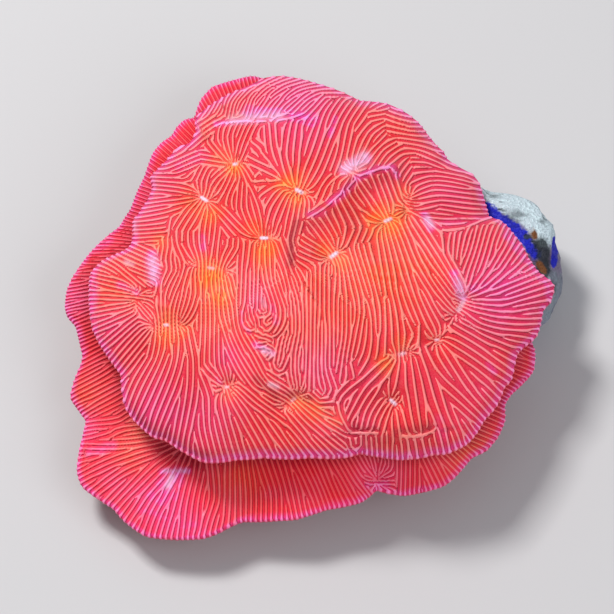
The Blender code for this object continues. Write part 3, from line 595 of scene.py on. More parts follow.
def at(direction, distance):
    """Photo pixel in that direction and at that distance from the colony's centre."""
    turn = np.radians(direction)
    return CENTRE[0] + distance * np.cos(turn), CENTRE[1] - distance * np.sin(turn)


def reach_table(rim):
    """Distance from the centre to the rim, in photo pixels, at every quarter degree."""
    corners = np.array(rim, float)
    direction, reach = around(corners[:, 0], corners[:, 1])
    order = np.argsort(direction)
    return round_table(dict(zip(direction[order], reach[order])), 0.5)


def look(table, direction):
    """Reads a round table."""
    return np.interp(direction, DEGREES, table, period=360)


UPPER_REACH = reach_table(UPPER_RIM)
UPPER_EVEN_REACH = round_table(dict(zip(DEGREES, UPPER_REACH)), EVEN_BLUR)
LOWER_REACH = reach_table(LOWER_RIM)
UPPER_EDGE = round_table(UPPER_RIM_HEIGHT, 8)
LOWER_EDGE = round_table(LOWER_RIM_HEIGHT, 5)
LOWER_SHELTERED = round_table(LOWER_SHELTERED_HEIGHT, 4)
ROCK_REACH = round_table(ROCK_RADIUS, 6)
ROCK_EDGE = round_table(ROCK_SHOULDER, 6)


def seen(px, py, z):
    """x and y of the point at height z on the sight line through a photo pixel: the eye + along line."""
    sin_e, cos_e = math.sin(VIEW_ELEVATION), math.cos(VIEW_ELEVATION)
    right, up = (px - FRAME_MIDDLE) * PIXEL, (FRAME_MIDDLE - py) * PIXEL
    along = (z - EYE_DISTANCE * sin_e) / (up * cos_e - EYE_DISTANCE * sin_e)
    return right * along, AIM_Y - EYE_DISTANCE * cos_e + (EYE_DISTANCE * cos_e + up * sin_e) * along


def pixel_of(x, y, z):
    """Photo pixel at which a point is seen: its offset from the axis of view over its depth."""
    sin_e, cos_e = math.sin(VIEW_ELEVATION), math.cos(VIEW_ELEVATION)
    dy, dz = y - AIM_Y + EYE_DISTANCE * cos_e, z - EYE_DISTANCE * sin_e
    enlarge = EYE_DISTANCE / (dy * cos_e - dz * sin_e) / PIXEL
    return FRAME_MIDDLE + x * enlarge, FRAME_MIDDLE - (dy * sin_e + dz * cos_e) * enlarge


def near_line(px, py, line):
    """Distance to a bent line, its run there in radians anticlockwise, the nearest point and the side.

    Each straight part's nearest point is a + t (b - a), with t the dot product share held to 0..1.
    """
    gap = np.full(np.shape(px), np.inf)
    run, side = np.zeros(np.shape(px)), np.zeros(np.shape(px))
    near_x, near_y = np.zeros(np.shape(px)), np.zeros(np.shape(px))
    for (ax, ay), (bx, by) in zip(line, line[1:]):
        dx, dy = bx - ax, by - ay
        along = np.clip(((px - ax) * dx + (py - ay) * dy) / (dx * dx + dy * dy), 0, 1)
        qx, qy = ax + along * dx, ay + along * dy
        part = np.hypot(px - qx, py - qy)
        closer = part < gap
        gap = np.where(closer, part, gap)
        run = np.where(closer, math.atan2(-dy, dx), run)
        side = np.where(closer, np.sign((px - ax) * dy - (py - ay) * dx), side)
        near_x, near_y = np.where(closer, qx, near_x), np.where(closer, qy, near_y)
    return gap, run, near_x, near_y, side


def slit(x, y, tilt, half):
    """The two ends of a mouth's slit: its middle less and plus half its length along its tilt."""
    across, up = half * math.cos(math.radians(tilt)), half * math.sin(math.radians(tilt))
    return [(x - across, y + up), (x + across, y - up)]


def relief(px, py):
    """Height of the walls between the mouths, low at their ends, less the depth of the pits at the mouths."""
    raised = np.zeros(np.shape(px))
    for line, height, left_spread, right_spread in WALLS:
        gap, _, _, _, side = near_line(px, py, line)
        ends = bell(np.hypot(px - line[0][0], py - line[0][1]), WALL_END_REACH)
        ends = np.maximum(ends, bell(np.hypot(px - line[-1][0], py - line[-1][1]), WALL_END_REACH))
        height = height * (1 - WALL_END_DROP * ends)
        raised = np.maximum(raised, height * bell(gap, np.where(side > 0, left_spread, right_spread)))
    for mx, my in PITS:
        raised = raised - PIT_DEPTH * bell(np.hypot(px - mx, py - my), PIT_SPREAD)
    return raised


def upper_top(px, py):
    """Height of the upper plate: edge + (top - edge)(1 - share^1.8), less the curl, plus the relief."""
    direction, distance = around(px, py)
    share = distance / look(UPPER_REACH, direction)
    edge = look(UPPER_EDGE, direction)
    far_side = np.clip((CENTRE[1] - py) / FAR_SIDE_REACH, 0, 1)
    past_start = np.clip((share - CURL_START) / (1 - CURL_START), 0, 1)
    curl = (CURL + (FAR_CURL - CURL) * far_side) * past_start ** 2
    dome = 1 - np.minimum(share, FARTHEST_SHARE) ** DOME_POWER
    return edge + (PLATE_TOP - edge) * dome - curl + relief(px, py)


def sheltered_share(direction, reach):
    """The upper rim's distance as a share of the way out over the lower plate, held to a range."""
    return np.clip(look(UPPER_REACH, direction) / reach, *SHELTERED_SHARES)


def lower_top(px, py):
    """Height of the lower plate: from the rim up to below the upper rim, then up to the flat seat."""
    direction, distance = around(px, py)
    reach = look(LOWER_REACH, direction)
    share = distance / reach
    sheltered = sheltered_share(direction, reach)
    edge, under = look(LOWER_EDGE, direction), look(LOWER_SHELTERED, direction)
    outer = np.clip((1 - share) / (1 - sheltered), *OUTER_SHARES)
    inner = ease((sheltered - share) / (sheltered - SEAT_SHARE))
    height = edge + (under - edge) * outer + (SEAT_Z - under) * inner
    x, y = seen(px, py, SEAT_Z)
    off_axis = np.hypot(x - AXIS_X, y - AXIS_Y)
    return SEAT_Z + (height - SEAT_Z) * ease((off_axis - LOWER_SEAT) / SEAT_BLEND)


def top_below(top, x, y):
    """Height of a plate's top at a point in plan, found by sliding along the upright line through it."""
    z = np.full(np.shape(x), SEAT_Z)
    for _ in range(TOP_ROUNDS):
        z = 0.5 * z + 0.5 * top(*pixel_of(x, y, z))
    return z


def lattice(whole, seed):
    """A number from 0 to 1 for each lattice corner: the fraction of a large sine of its mixed coordinates."""
    x, y, z = np.moveaxis(whole, -1, 0)
    mixed = x * LATTICE_MIX[0] + y * LATTICE_MIX[1] + z * LATTICE_MIX[2] + seed * LATTICE_SEED
    return np.modf(np.abs(np.sin(mixed) * LATTICE_SINE))[0]


def noise(points, size, seed):
    """Smooth noise from -1 to 1: lattice values every size metres, mixed with 3s² - 2s³ weights."""
    place = points / size
    whole = np.floor(place)
    part = ease(place - whole)
    total = np.zeros(points.shape[:-1])
    for corner in np.ndindex(2, 2, 2):
        weight = np.prod(np.where(np.array(corner) == 1, part, 1 - part), axis=-1)
        total += weight * lattice(whole + corner, seed)
    return total * 2 - 1


def rough_noise(points, size, seed, layers):
    """Layers of noise, each half the size and half the strength of the one before."""
    return sum(noise(points, size / 2 ** k, seed + k) / 2 ** k for k in range(layers))


def field_places(step):
    """Photo pixels of the wave field's cells, or of every so many of them."""
    axis = np.arange(0, FIELD_SIDE, step) * FIELD_STEP
    return np.meshgrid(FIELD_LEFT + axis, FIELD_TOP + axis)


def read_field(values, px, py):
    """A field's value at a photo pixel, straight between its four nearest cells."""
    step = FIELD_STEP * FIELD_SIDE / values.shape[0]
    fx = np.clip((px - FIELD_LEFT) / step, 0, values.shape[1] - 1.001)
    fy = np.clip((py - FIELD_TOP) / step, 0, values.shape[0] - 1.001)
    ix, iy = np.floor(fx).astype(int), np.floor(fy).astype(int)
    sx, sy = fx - ix, fy - iy
    upper = values[iy, ix] * (1 - sx) + values[iy, ix + 1] * sx
    lower = values[iy + 1, ix] * (1 - sx) + values[iy + 1, ix + 1] * sx
    return upper * (1 - sy) + lower * sy


def field_blur(values, spread):
    """The field blurred by a bell of that many photo pixels, as a product with its transform."""
    up = np.fft.fftfreq(FIELD_SIDE, FIELD_STEP)[:, None]
    across = np.fft.rfftfreq(FIELD_SIDE, FIELD_STEP)[None, :]
    shape = np.exp(-2 * (np.pi * spread) ** 2 * (up ** 2 + across ** 2))
    return np.fft.irfft2(np.fft.rfft2(values) * shape, s=values.shape)


def outward(px, py):
    """Direction away from the centre in radians: the arctangent of up over across."""
    return np.arctan2(CENTRE[1] - py, px - CENTRE[0])


def rib_directions(courses, mouths):
    """Rib direction on a coarse grid, as exp(2 i turn), and the distance to the nearest mouth.

    Directions are averaged in that form. A course counts as 1 / (gap² + softening²)², a mouth's
    rays count near it, and the outward direction counts a little everywhere.
    """
    px, py = field_places(COARSE)
    turn = OUTWARD_WEIGHT * np.exp(2j * outward(px, py))
    mouth_gap = np.full(px.shape, np.inf)
    for x, y, tilt, half, _, _ in mouths:
        gap, _, near_x, near_y, _ = near_line(px, py, slit(x, y, tilt, half))
        ray = np.arctan2(near_y - py, px - near_x)
        weight = MOUTH_WEIGHT * bell(gap, MOUTH_REACH) + FAR_MOUTH_WEIGHT * bell(gap, FAR_MOUTH_REACH)
        turn = turn + np.exp(2j * ray) * weight
        mouth_gap = np.minimum(mouth_gap, gap)
    for course in courses:
        gap, run, _, _, _ = near_line(px, py, course)
        turn = turn + np.exp(2j * run) / (gap ** 2 + COURSE_SOFTENING ** 2) ** 2
    return turn / np.abs(turn), mouth_gap


def rib_spacing(places, mouth_gap):
    """Rib spacing in photo pixels on the coarse grid: a bell-weighted mean, closer near the mouths."""
    px, py = field_places(COARSE)
    total, weight = np.zeros(px.shape), np.zeros(px.shape)
    for x, y, spacing in places:
        share = bell(np.hypot(px - x, py - y), SPACING_SPREAD) + TINY
        total += share * spacing
        weight += share
    spacing = total / weight
    return spacing - (spacing - MOUTH_SPACING) * np.exp(-(mouth_gap / MOUTH_SPACING_REACH) ** 2)


def crest_edge(spacing):
    """The cosine of the phase at a crest's edge, for crests of one width: cos(pi width / spacing)."""
    return np.cos(np.pi * CREST_WIDTH / np.clip(spacing, LEAST_SPACING, MOST_SPACING))


def comb_filters(one_sided):
    """Filters that pass one direction and one spacing: bells round the wave's place in the transform.

    A one-sided filter passes the wave that runs one way across the ribs, which gives it a phase.
    """
    up = -np.fft.fftfreq(FIELD_SIDE, FIELD_STEP)[:, None]
    across = (np.fft.fftfreq if one_sided else np.fft.rfftfreq)(FIELD_SIDE, FIELD_STEP)[None, :]
    for i in range(FIELD_TURNS):
        turn = math.pi * i / FIELD_TURNS
        along_rib = across * math.cos(turn) + up * math.sin(turn)
        over_rib = up * math.cos(turn) - across * math.sin(turn)
        for j, wave in enumerate(FIELD_WAVES):
            spread_over, spread_along = ACROSS_SPREAD * wave, ALONG_SPREAD * wave
            along_part = np.exp(-2 * (np.pi * spread_along * along_rib) ** 2)
            shape = along_part * np.exp(-2 * (np.pi * spread_over * (over_rib - 1 / wave)) ** 2)
            if not one_sided:
                shape = shape + along_part * np.exp(-2 * (np.pi * spread_over * (over_rib + 1 / wave)) ** 2)
            yield i, j, shape


def filter_shares(turn, spacing):
    """How much each filter counts at each cell, and where its wave runs the other way round."""
    place = (turn % math.pi) / math.pi * FIELD_TURNS
    low = np.floor(place).astype(int) % FIELD_TURNS
    part = place - np.floor(place)
    rank = np.interp(np.log(spacing), np.log(FIELD_WAVES), np.arange(len(FIELD_WAVES)))
    shares = {}
    for i in range(FIELD_TURNS):
        by_turn = np.where(low == i, 1 - part, 0) + np.where((low + 1) % FIELD_TURNS == i, part, 0)
        for j in range(len(FIELD_WAVES)):
            shares[i, j] = by_turn * np.clip(1 - np.abs(rank - j), 0, 1)
    return shares, low == FIELD_TURNS - 1


def drawn_courses(courses):
    """The courses drawn into the field as lines one cell wide: a narrow blur less a wide one."""
    drawn = np.zeros((FIELD_SIDE, FIELD_SIDE))
    for course in courses:
        for (ax, ay), (bx, by) in zip(course, course[1:]):
            share = np.linspace(0, 1, 2 + int(math.hypot(bx - ax, by - ay) / FIELD_STEP))
            column = np.round((ax + (bx - ax) * share - FIELD_LEFT) / FIELD_STEP).astype(int)
            row = np.round((ay + (by - ay) * share - FIELD_TOP) / FIELD_STEP).astype(int)
            drawn[row, column] = 1
    return field_blur(drawn, DRAWN_SPREAD) - field_blur(drawn, DRAWN_MARGIN)


def grow_ribs(courses, windings, mouths, spacing_places, seed):
    """A complex wave field whose phase is 0 on rib crests, and the spacing on the coarse grid.

    Noise with the courses drawn into it is filtered along the local rib direction, levelled by its
    local strength, pulled to the drawn crests and pressed towards -1 and 1, some rounds over. The
    courses pull in the first rounds only, so that the last ones join the ribs up at their ends. A
    last one-sided filtering gives the phase.
    """
    heading, mouth_gap = rib_directions(courses + windings, mouths)
    spacing = rib_spacing(spacing_places, mouth_gap)
    px, py = field_places(1)
    turn = np.angle(read_field(heading, px, py)) / 2
    asked = np.maximum((read_field(spacing, px, py) - GROWN_WIDER) / GROWN_SHARE, FIELD_WAVES[0])
    shares, wrapped = filter_shares(turn, asked)
    wanted = {key: share for key, share in shares.items() if share.any()}
    filters = {(i, j): shape for i, j, shape in comb_filters(False) if (i, j) in wanted}
    random = np.random.default_rng(seed)
    winding_pull = WINDING_PIN * drawn_courses(windings)
    course_pull = COURSE_PIN * drawn_courses(courses)
    field = FIRST_NOISE * random.standard_normal((FIELD_SIDE, FIELD_SIDE))
    field = field + FIRST_PULL * (course_pull + winding_pull)
    for number in range(FIELD_ROUNDS):
        transform = np.fft.rfft2(field)
        made = sum(np.fft.irfft2(transform * filters[key], s=field.shape) * wanted[key] for key in wanted)
        level = np.sqrt(field_blur(made ** 2, LEVEL_SPREAD)) + TINY
        field = np.tanh(PRESS * made / level + winding_pull + course_pull * (number < HELD_ROUNDS))
    transform = np.fft.fft2(field)
    wave = np.zeros(field.shape, complex)
    for i, j, shape in comb_filters(True):
        if (i, j) in wanted:
            part = np.fft.ifft2(transform * shape)
            wave += np.where(wrapped & (i == 0), np.conj(part), part) * wanted[i, j]
    return wave / (field_blur(np.abs(wave), STRENGTH_SPREAD) + TINY), spacing


def wave_slope(wave):
    """Change of the phase in radians for each photo pixel, to the right and downwards."""
    down, right = np.gradient(wave, FIELD_STEP)
    size = np.abs(wave) ** 2 + SLOPE_FLOOR
    return (np.conj(wave) * right).imag / size, (np.conj(wave) * down).imag / size


def read_wave(wave, px, py):
    """The wave's phase and strength at a photo pixel: its angle and its size."""
    value = read_field(wave, px, py)
    return np.angle(value), np.abs(value)


def slide_to_crests(wave, slope, px, py):
    """Moves the places beside a crest across the ribs towards it, so that edges follow the crests.

    The move is -slide phase slope / |slope|², which reaches the crest for a slide of 1, held to a
    longest move. The slide is full near a crest and 0 away from it.
    """
    phase, strength = read_wave(wave, px, py)
    pull = SLIDE * ease((SLIDE_END - np.abs(phase)) / (SLIDE_END - SLIDE_START))
    right, down = read_field(slope[0], px, py), read_field(slope[1], px, py)
    steep = right ** 2 + down ** 2 + STEEP_FLOOR
    shift = -pull * phase * np.clip(strength, 0, 1) / steep
    size = np.hypot(shift * right, shift * down)
    held = np.minimum(1, LONGEST_SLIDE / np.maximum(size, TINY))
    return px + shift * right * held, py + shift * down * held


def crest_of(phase, edge):
    """1 on the crest and 0 in the valley: ((1 + cos phase) / 2)^p, where p gives 1/2 at the crest's edge."""
    return ((1 + np.cos(phase)) / 2) ** (math.log(0.5) / np.log((1 + edge) / 2))


def lips(px, py):
    """Pale lips round the mouths (0 to 1), ease(edge - gap / width), and the calm where ribs are low."""
    pale, calm = np.zeros(np.shape(px)), np.zeros(np.shape(px))
    for x, y, tilt, _, half, white in MOUTHS:
        if half:
            gap = near_line(px, py, slit(x, y, tilt, half * LIPS_LINE_SHARE))[0]
            pale = np.maximum(pale, white * ease(LIPS_EDGE - gap / (LIPS_WIDTH + LIPS_WIDENING * half)))
            calm = np.maximum(calm, bell(gap, CALM_REACH))
    return pale, calm


def rib_skin(wave, slope, edge, px, py, fade):
    """Rib lift (0 to 1), and the rib attribute.

    The attribute holds the phase's cosine, its sine with plus on the shaded flank, and how squarely
    the ribs lie across the light.
    """
    phase, strength = read_wave(wave, px, py)
    strength = np.clip(strength * STRENGTH_GAIN, 0, 1) * fade
    right, down = read_field(slope[0], px, py), read_field(slope[1], px, py)
    size = np.hypot(right, down) + LEAST_SLOPE
    across = right * AWAY_FROM_KEY[0] + down * AWAY_FROM_KEY[1]
    facing = np.clip(FACING_GAIN * across / size, -1, 1)
    flank = np.sin(phase) * np.sign(facing)
    ribs = np.stack([np.cos(phase) * strength, flank * strength, np.abs(facing)], axis=-1)
    return crest_of(phase, edge) * strength, ribs


def spots(px, py, places):
    """Sum of bells at the places, held to 1."""
    total = sum(strength * bell(np.hypot(px - x, py - y), spread) for x, y, spread, strength in places)
    return np.clip(total, 0, 1)


def streaks(px, py, places):
    """The greatest of the bells along the lines."""
    made = np.zeros(np.shape(px))
    for line, spread, strength in places:
        made = np.maximum(made, strength * bell(near_line(px, py, line)[0], spread))
    return made


def square_to_disc(a, b):
    """Map of a square onto a disc that keeps directions: (a, b) max(|a|, |b|) / hypot(a, b)."""
    size = np.hypot(a, b)
    shrink = np.maximum(np.abs(a), np.abs(b)) / np.where(size == 0, 1, size)
    return a * shrink, b * shrink


def grid_quads(rows, columns, closed=False):
    """Corner numbers of the quads of a grid of points, numbered row by row."""
    row = np.arange(rows - 1)[:, None]
    column = np.arange(columns if closed else columns - 1)[None, :]
    after = (column + 1) % columns
    here, below = row * columns, (row + 1) * columns
    return np.stack([here + column, here + after, below + after, below + column], axis=-1).reshape(-1, 4)


def cut_quads(quads, lift):
    """Two triangles for each quad, cut between the opposite corners whose lifts are nearer."""
    a, b, c, d = quads.T
    straight = (np.abs(lift[a] - lift[c]) <= np.abs(lift[b] - lift[d]))[:, None]
    first = np.where(straight, np.stack([a, b, c], axis=-1), np.stack([a, b, d], axis=-1))
    second = np.where(straight, np.stack([a, c, d], axis=-1), np.stack([b, c, d], axis=-1))
    return np.concatenate([first, second])


def ring_faces(outer, inner):
    """Quads between two rings of point numbers, or triangles where the inner ring has half the points."""
    if len(outer) == len(inner):
        quads = np.stack([outer, np.roll(outer, -1), np.roll(inner, -1), inner], axis=-1)
        return quads, np.empty((0, 3), int)
    even, odd, after = outer[0::2], outer[1::2], np.roll(outer[0::2], -1)
    near, far = inner, np.roll(inner, -1)
    threes = ((even, odd, near), (odd, far, near), (odd, after, far))
    return np.empty((0, 4), int), np.concatenate([np.stack(three, axis=-1) for three in threes])


def border_of(rows, columns):
    """Point numbers round the border of a grid, in order."""
    number = np.arange(rows * columns).reshape(rows, columns)
    return np.concatenate([number[0, :-1], number[:-1, -1], number[-1, :0:-1], number[:0:-1, 0]])


class Skin:
    """Points, faces and attributes of one closed surface, gathered part by part."""

    def __init__(self):
        self.points, self.quads, self.triangles = [], [], []
        self.ribs, self.masks, self.tones = [], [], []
        self.count = 0

    def add(self, points, ribs, masks, tones=PLAIN_TONES):
        """Takes points of any grid shape with their attributes, and gives their numbers."""
        size = points.reshape(-1, 3).shape[0]
        self.points.append(points.reshape(-1, 3))
        self.ribs.append(np.broadcast_to(ribs, (*points.shape[:-1], 3)).reshape(-1, 3))
        self.masks.append(np.broadcast_to(masks, (*points.shape[:-1], 4)).reshape(-1, 4))
        self.tones.append(np.broadcast_to(tones, (*points.shape[:-1], 3)).reshape(-1, 3))
        self.count += size
        return np.arange(self.count - size, self.count)

    def bridge(self, outer, inner):
        """Joins two rings of point numbers with faces."""
        quads, triangles = ring_faces(outer, inner)
        self.quads.append(quads)
        self.triangles.append(triangles)

    def cap(self, ring, centre):
        """Closes a ring with a fan of triangles round a centre point's number."""
        self.triangles.append(np.stack([ring, np.roll(ring, -1), np.full(len(ring), centre)], axis=-1))

    def make(self, name, material):
        """The mesh object, with its normals outwards and its attributes on the points."""
        points = np.concatenate(self.points)
        faces = np.concatenate([*self.quads, np.empty((0, 4), int)]).tolist()
        faces += np.concatenate(self.triangles).tolist()
        mesh = bpy.data.meshes.new(name)
        mesh.from_pydata(points.tolist(), [], faces)
        made = bmesh.new()
        made.from_mesh(mesh)
        bmesh.ops.recalc_face_normals(made, faces=made.faces)
        made.to_mesh(mesh)
        made.free()
        for label, values in (("ribs", self.ribs), ("tones", self.tones)):
            attribute = mesh.attributes.new(label, "FLOAT_VECTOR", "POINT")
            attribute.data.foreach_set("vector", np.concatenate(values).astype(np.float32).ravel())
        masks = mesh.attributes.new("masks", "FLOAT_COLOR", "POINT")
        masks.data.foreach_set("color", np.concatenate(self.masks).astype(np.float32).ravel())
        mesh.shade_smooth()
        mesh.materials.append(material)
        piece = bpy.data.objects.new(name, mesh)
        bpy.context.scene.collection.objects.link(piece)
        return piece


def outward_normals(x, y):
    """Unit normals in plan of a closed run of points, turned away from the axis."""
    along_x, along_y = np.roll(x, -2) - np.roll(x, 2), np.roll(y, -2) - np.roll(y, 2)
    size = np.hypot(along_x, along_y) + 1e-12
    normal_x, normal_y = along_y / size, -along_x / size
    sign = np.sign(np.sum(normal_x * (x - AXIS_X) + normal_y * (y - AXIS_Y)))
    return normal_x * sign, normal_y * sign


def add_lip(skin, border, rim, ribs):
    """The rounded lip below the rim, which follows (out, down) steps: its last ring's numbers and points.

    Crests stand out of it by their height, less on each step down.
    """
    x, y, z = rim.T
    normal_x, normal_y = outward_normals(x, y)
    crest = np.clip(ribs[:, 0], 0, 1)
    last = border
    for number, (out, down) in enumerate(LIP):
        fade = 1 - (number + 1) / len(LIP)
        out_by = (out + LIP_RIB * crest * fade) * MILLIMETRE
        lip = np.stack([x + normal_x * out_by, y + normal_y * out_by, z - down * MILLIMETRE], axis=-1)
        # The lip carries a painted violet highlight, less on each step down
        mask = [0, LIP_HIGHLIGHT * fade, 0, ease(down / LIP[-1][1])]
        ring = skin.add(lip, ribs * fade, mask)
        skin.bridge(last, ring)
        last = ring
    return last, lip


def add_underside(skin, border, low, top, foot_radius, foot_z):
    """The underside from the lip's lowest ring in to the stalk, and the stalk down to its flat foot.

    The shell is the top less a thickness that grows inwards, and starts at the lip's own height. The
    stalk is foot + (shell - foot) ease(off the foot)^power. Columns are halved on the way in.
    """
    low_turn = np.arctan2(low[:, 1] - AXIS_Y, low[:, 0] - AXIS_X)
    turns, heights = sorted_pair(low_turn, low[:, 2])
    turn, reach = low_turn, np.hypot(low[:, 0] - AXIS_X, low[:, 1] - AXIS_Y)
    start = foot_radius + FLARE
    plate_shares = np.linspace(UNDER_START, 0, UNDER_RINGS)
    stalk_shares = np.linspace(STALK_START, 0, STALK_RINGS)
    last = border
    for number, share in enumerate([*plate_shares, *stalk_shares]):
        if number in UNDER_HALVINGS and len(turn) % 2 == 0:
            turn, reach = turn[::2], reach[::2]
        if number < UNDER_RINGS:
            radius = start + (reach - start) * share
        else:
            radius = np.full(len(turn), foot_radius + FLARE * share)
        ring_x, ring_y = AXIS_X + radius * np.cos(turn), AXIS_Y + radius * np.sin(turn)
        out_share = np.clip((radius - start) / (reach - start), 0, 1)
        thickness = MIDDLE_THICKNESS - (MIDDLE_THICKNESS - RIM_THICKNESS) * out_share
        shell = top_below(top, ring_x, ring_y) - thickness
        if number < UNDER_RINGS and share > RIM_JOIN:
            rim_z = np.interp(turn, turns, heights, period=2 * math.pi)
            shell = shell + (rim_z - shell) * ease((share - RIM_JOIN) / (1 - RIM_JOIN))
        shell = foot_z + (shell - foot_z) * ease((radius - foot_radius) / FLARE) ** STALK_POWER
        spoke = turn * SPOKES + SPOKE_SWAY * np.sin(turn * SPOKE_SWAYS)
        spokes = np.stack([np.cos(spoke), np.abs(np.sin(spoke)), np.zeros(len(turn))], axis=-1)
        ring_points = np.stack([ring_x, ring_y, shell], axis=-1)
        ring = skin.add(ring_points, spokes * SPOKE_STRENGTH * out_share[:, None], UNDER_MASKS)
        skin.bridge(last, ring)
        last = ring
    centre = skin.add(np.array([[AXIS_X, AXIS_Y, foot_z]]), NO_RIBS, UNDER_MASKS)
    skin.cap(last, centre[0])


def sorted_pair(keys, values):
    """Keys in rising order, and their values."""
    order = np.argsort(keys)
    return keys[order], values[order]


def lift_places(top, px, py, lift, rib_height):
    """Points on the sight lines at top + rib height (lift - base)."""
    z = top(px, py) + rib_height * (lift - RIB_BASE)
    x, y = seen(px, py, z)
    return np.stack([x, y, z], axis=-1)


def upper_grid(rows, columns, inset):
    """Photo pixels of a grid over the upper plate's outline: a square of cells spread over a disc.

    A place at the share s of the way out lies at s (even + (reach - even) s⁴), so that the grid's
    lines are smooth inside and follow the rim's notches only near it.
    """
    a, b = np.meshgrid(np.linspace(-1, 1, columns), np.linspace(-1, 1, rows))
    disc_x, disc_y = square_to_disc(a, b)
    share = np.hypot(disc_x, disc_y)
    width, height = np.ptp(np.array(UPPER_RIM), axis=0)
    direction = np.degrees(np.arctan2(disc_y * height, disc_x * width)) % 360
    reach, even = look(UPPER_REACH, direction) - inset, look(UPPER_EVEN_REACH, direction)
    return at(direction, share * (even + (reach - even) * share ** RIM_BLEND))


def upper_skin(sizes):
    """The upper plate: top + rib height (lift - base) over a grid whose places slide to the crests."""
    crests = WINDINGS + WALL_CRESTS
    wave, spacing = grow_ribs(COURSES, crests, MOUTHS[:-1], UPPER_SPACING, UPPER_SEED)
    slope = wave_slope(wave)
    rows, columns = UPPER_CELLS[1] + 1, UPPER_CELLS[0] + 1
    px, py = upper_grid(rows, columns, RIM_INSET)
    moved_direction, moved_distance = around(*slide_to_crests(wave, slope, px, py))
    on_border = np.ones(px.shape, bool)
    on_border[1:-1, 1:-1] = False
    held = np.where(on_border, look(UPPER_REACH, moved_direction) - RIM_INSET, moved_distance)
    px, py = at(moved_direction, held)
    pale, calm = lips(px, py)
    edge = crest_edge(read_field(spacing, px, py))
    lift, ribs = rib_skin(wave, slope, edge, px, py, 1 - CALM_SHARE * calm)
    edge_gap = look(UPPER_REACH, moved_direction) - held
    # Painted violet highlight on raised crests and along the rim
    lilac = np.maximum(streaks(px, py, UPPER_LILAC_HIGHLIGHTS), UPPER_EDGE_HIGHLIGHT * bell(edge_gap, EDGE_HIGHLIGHT_REACH))
    lift = lift + sizes.lip_height / sizes.rib_height * ease(pale)
    points = lift_places(upper_top, px, py, lift, sizes.rib_height)
    pale = np.maximum(pale, streaks(px, py, UPPER_PALES))
    masks = np.stack([spots(px, py, HALOS), lilac, pale, np.zeros(px.shape)], axis=-1)
    # Tones: the crest's edge, painted shade on slopes turned from the light and under rims, and broad painted
    # highlight
    tones = np.stack([edge, streaks(px, py, UPPER_PAINTED_SHADES), spots(px, py, UPPER_PINK_HIGHLIGHTS)], axis=-1)
    skin = Skin()
    skin.add(points, ribs, masks, tones)
    skin.triangles.append(cut_quads(grid_quads(rows, columns), ribs[..., 0].ravel()))
    border = border_of(rows, columns)
    ring, low = add_lip(skin, border, points.reshape(-1, 3)[border], ribs.reshape(-1, 3)[border])
    add_underside(skin, ring, low, upper_top, UPPER_FOOT, SEAT_Z + CLEARANCE)
    return skin


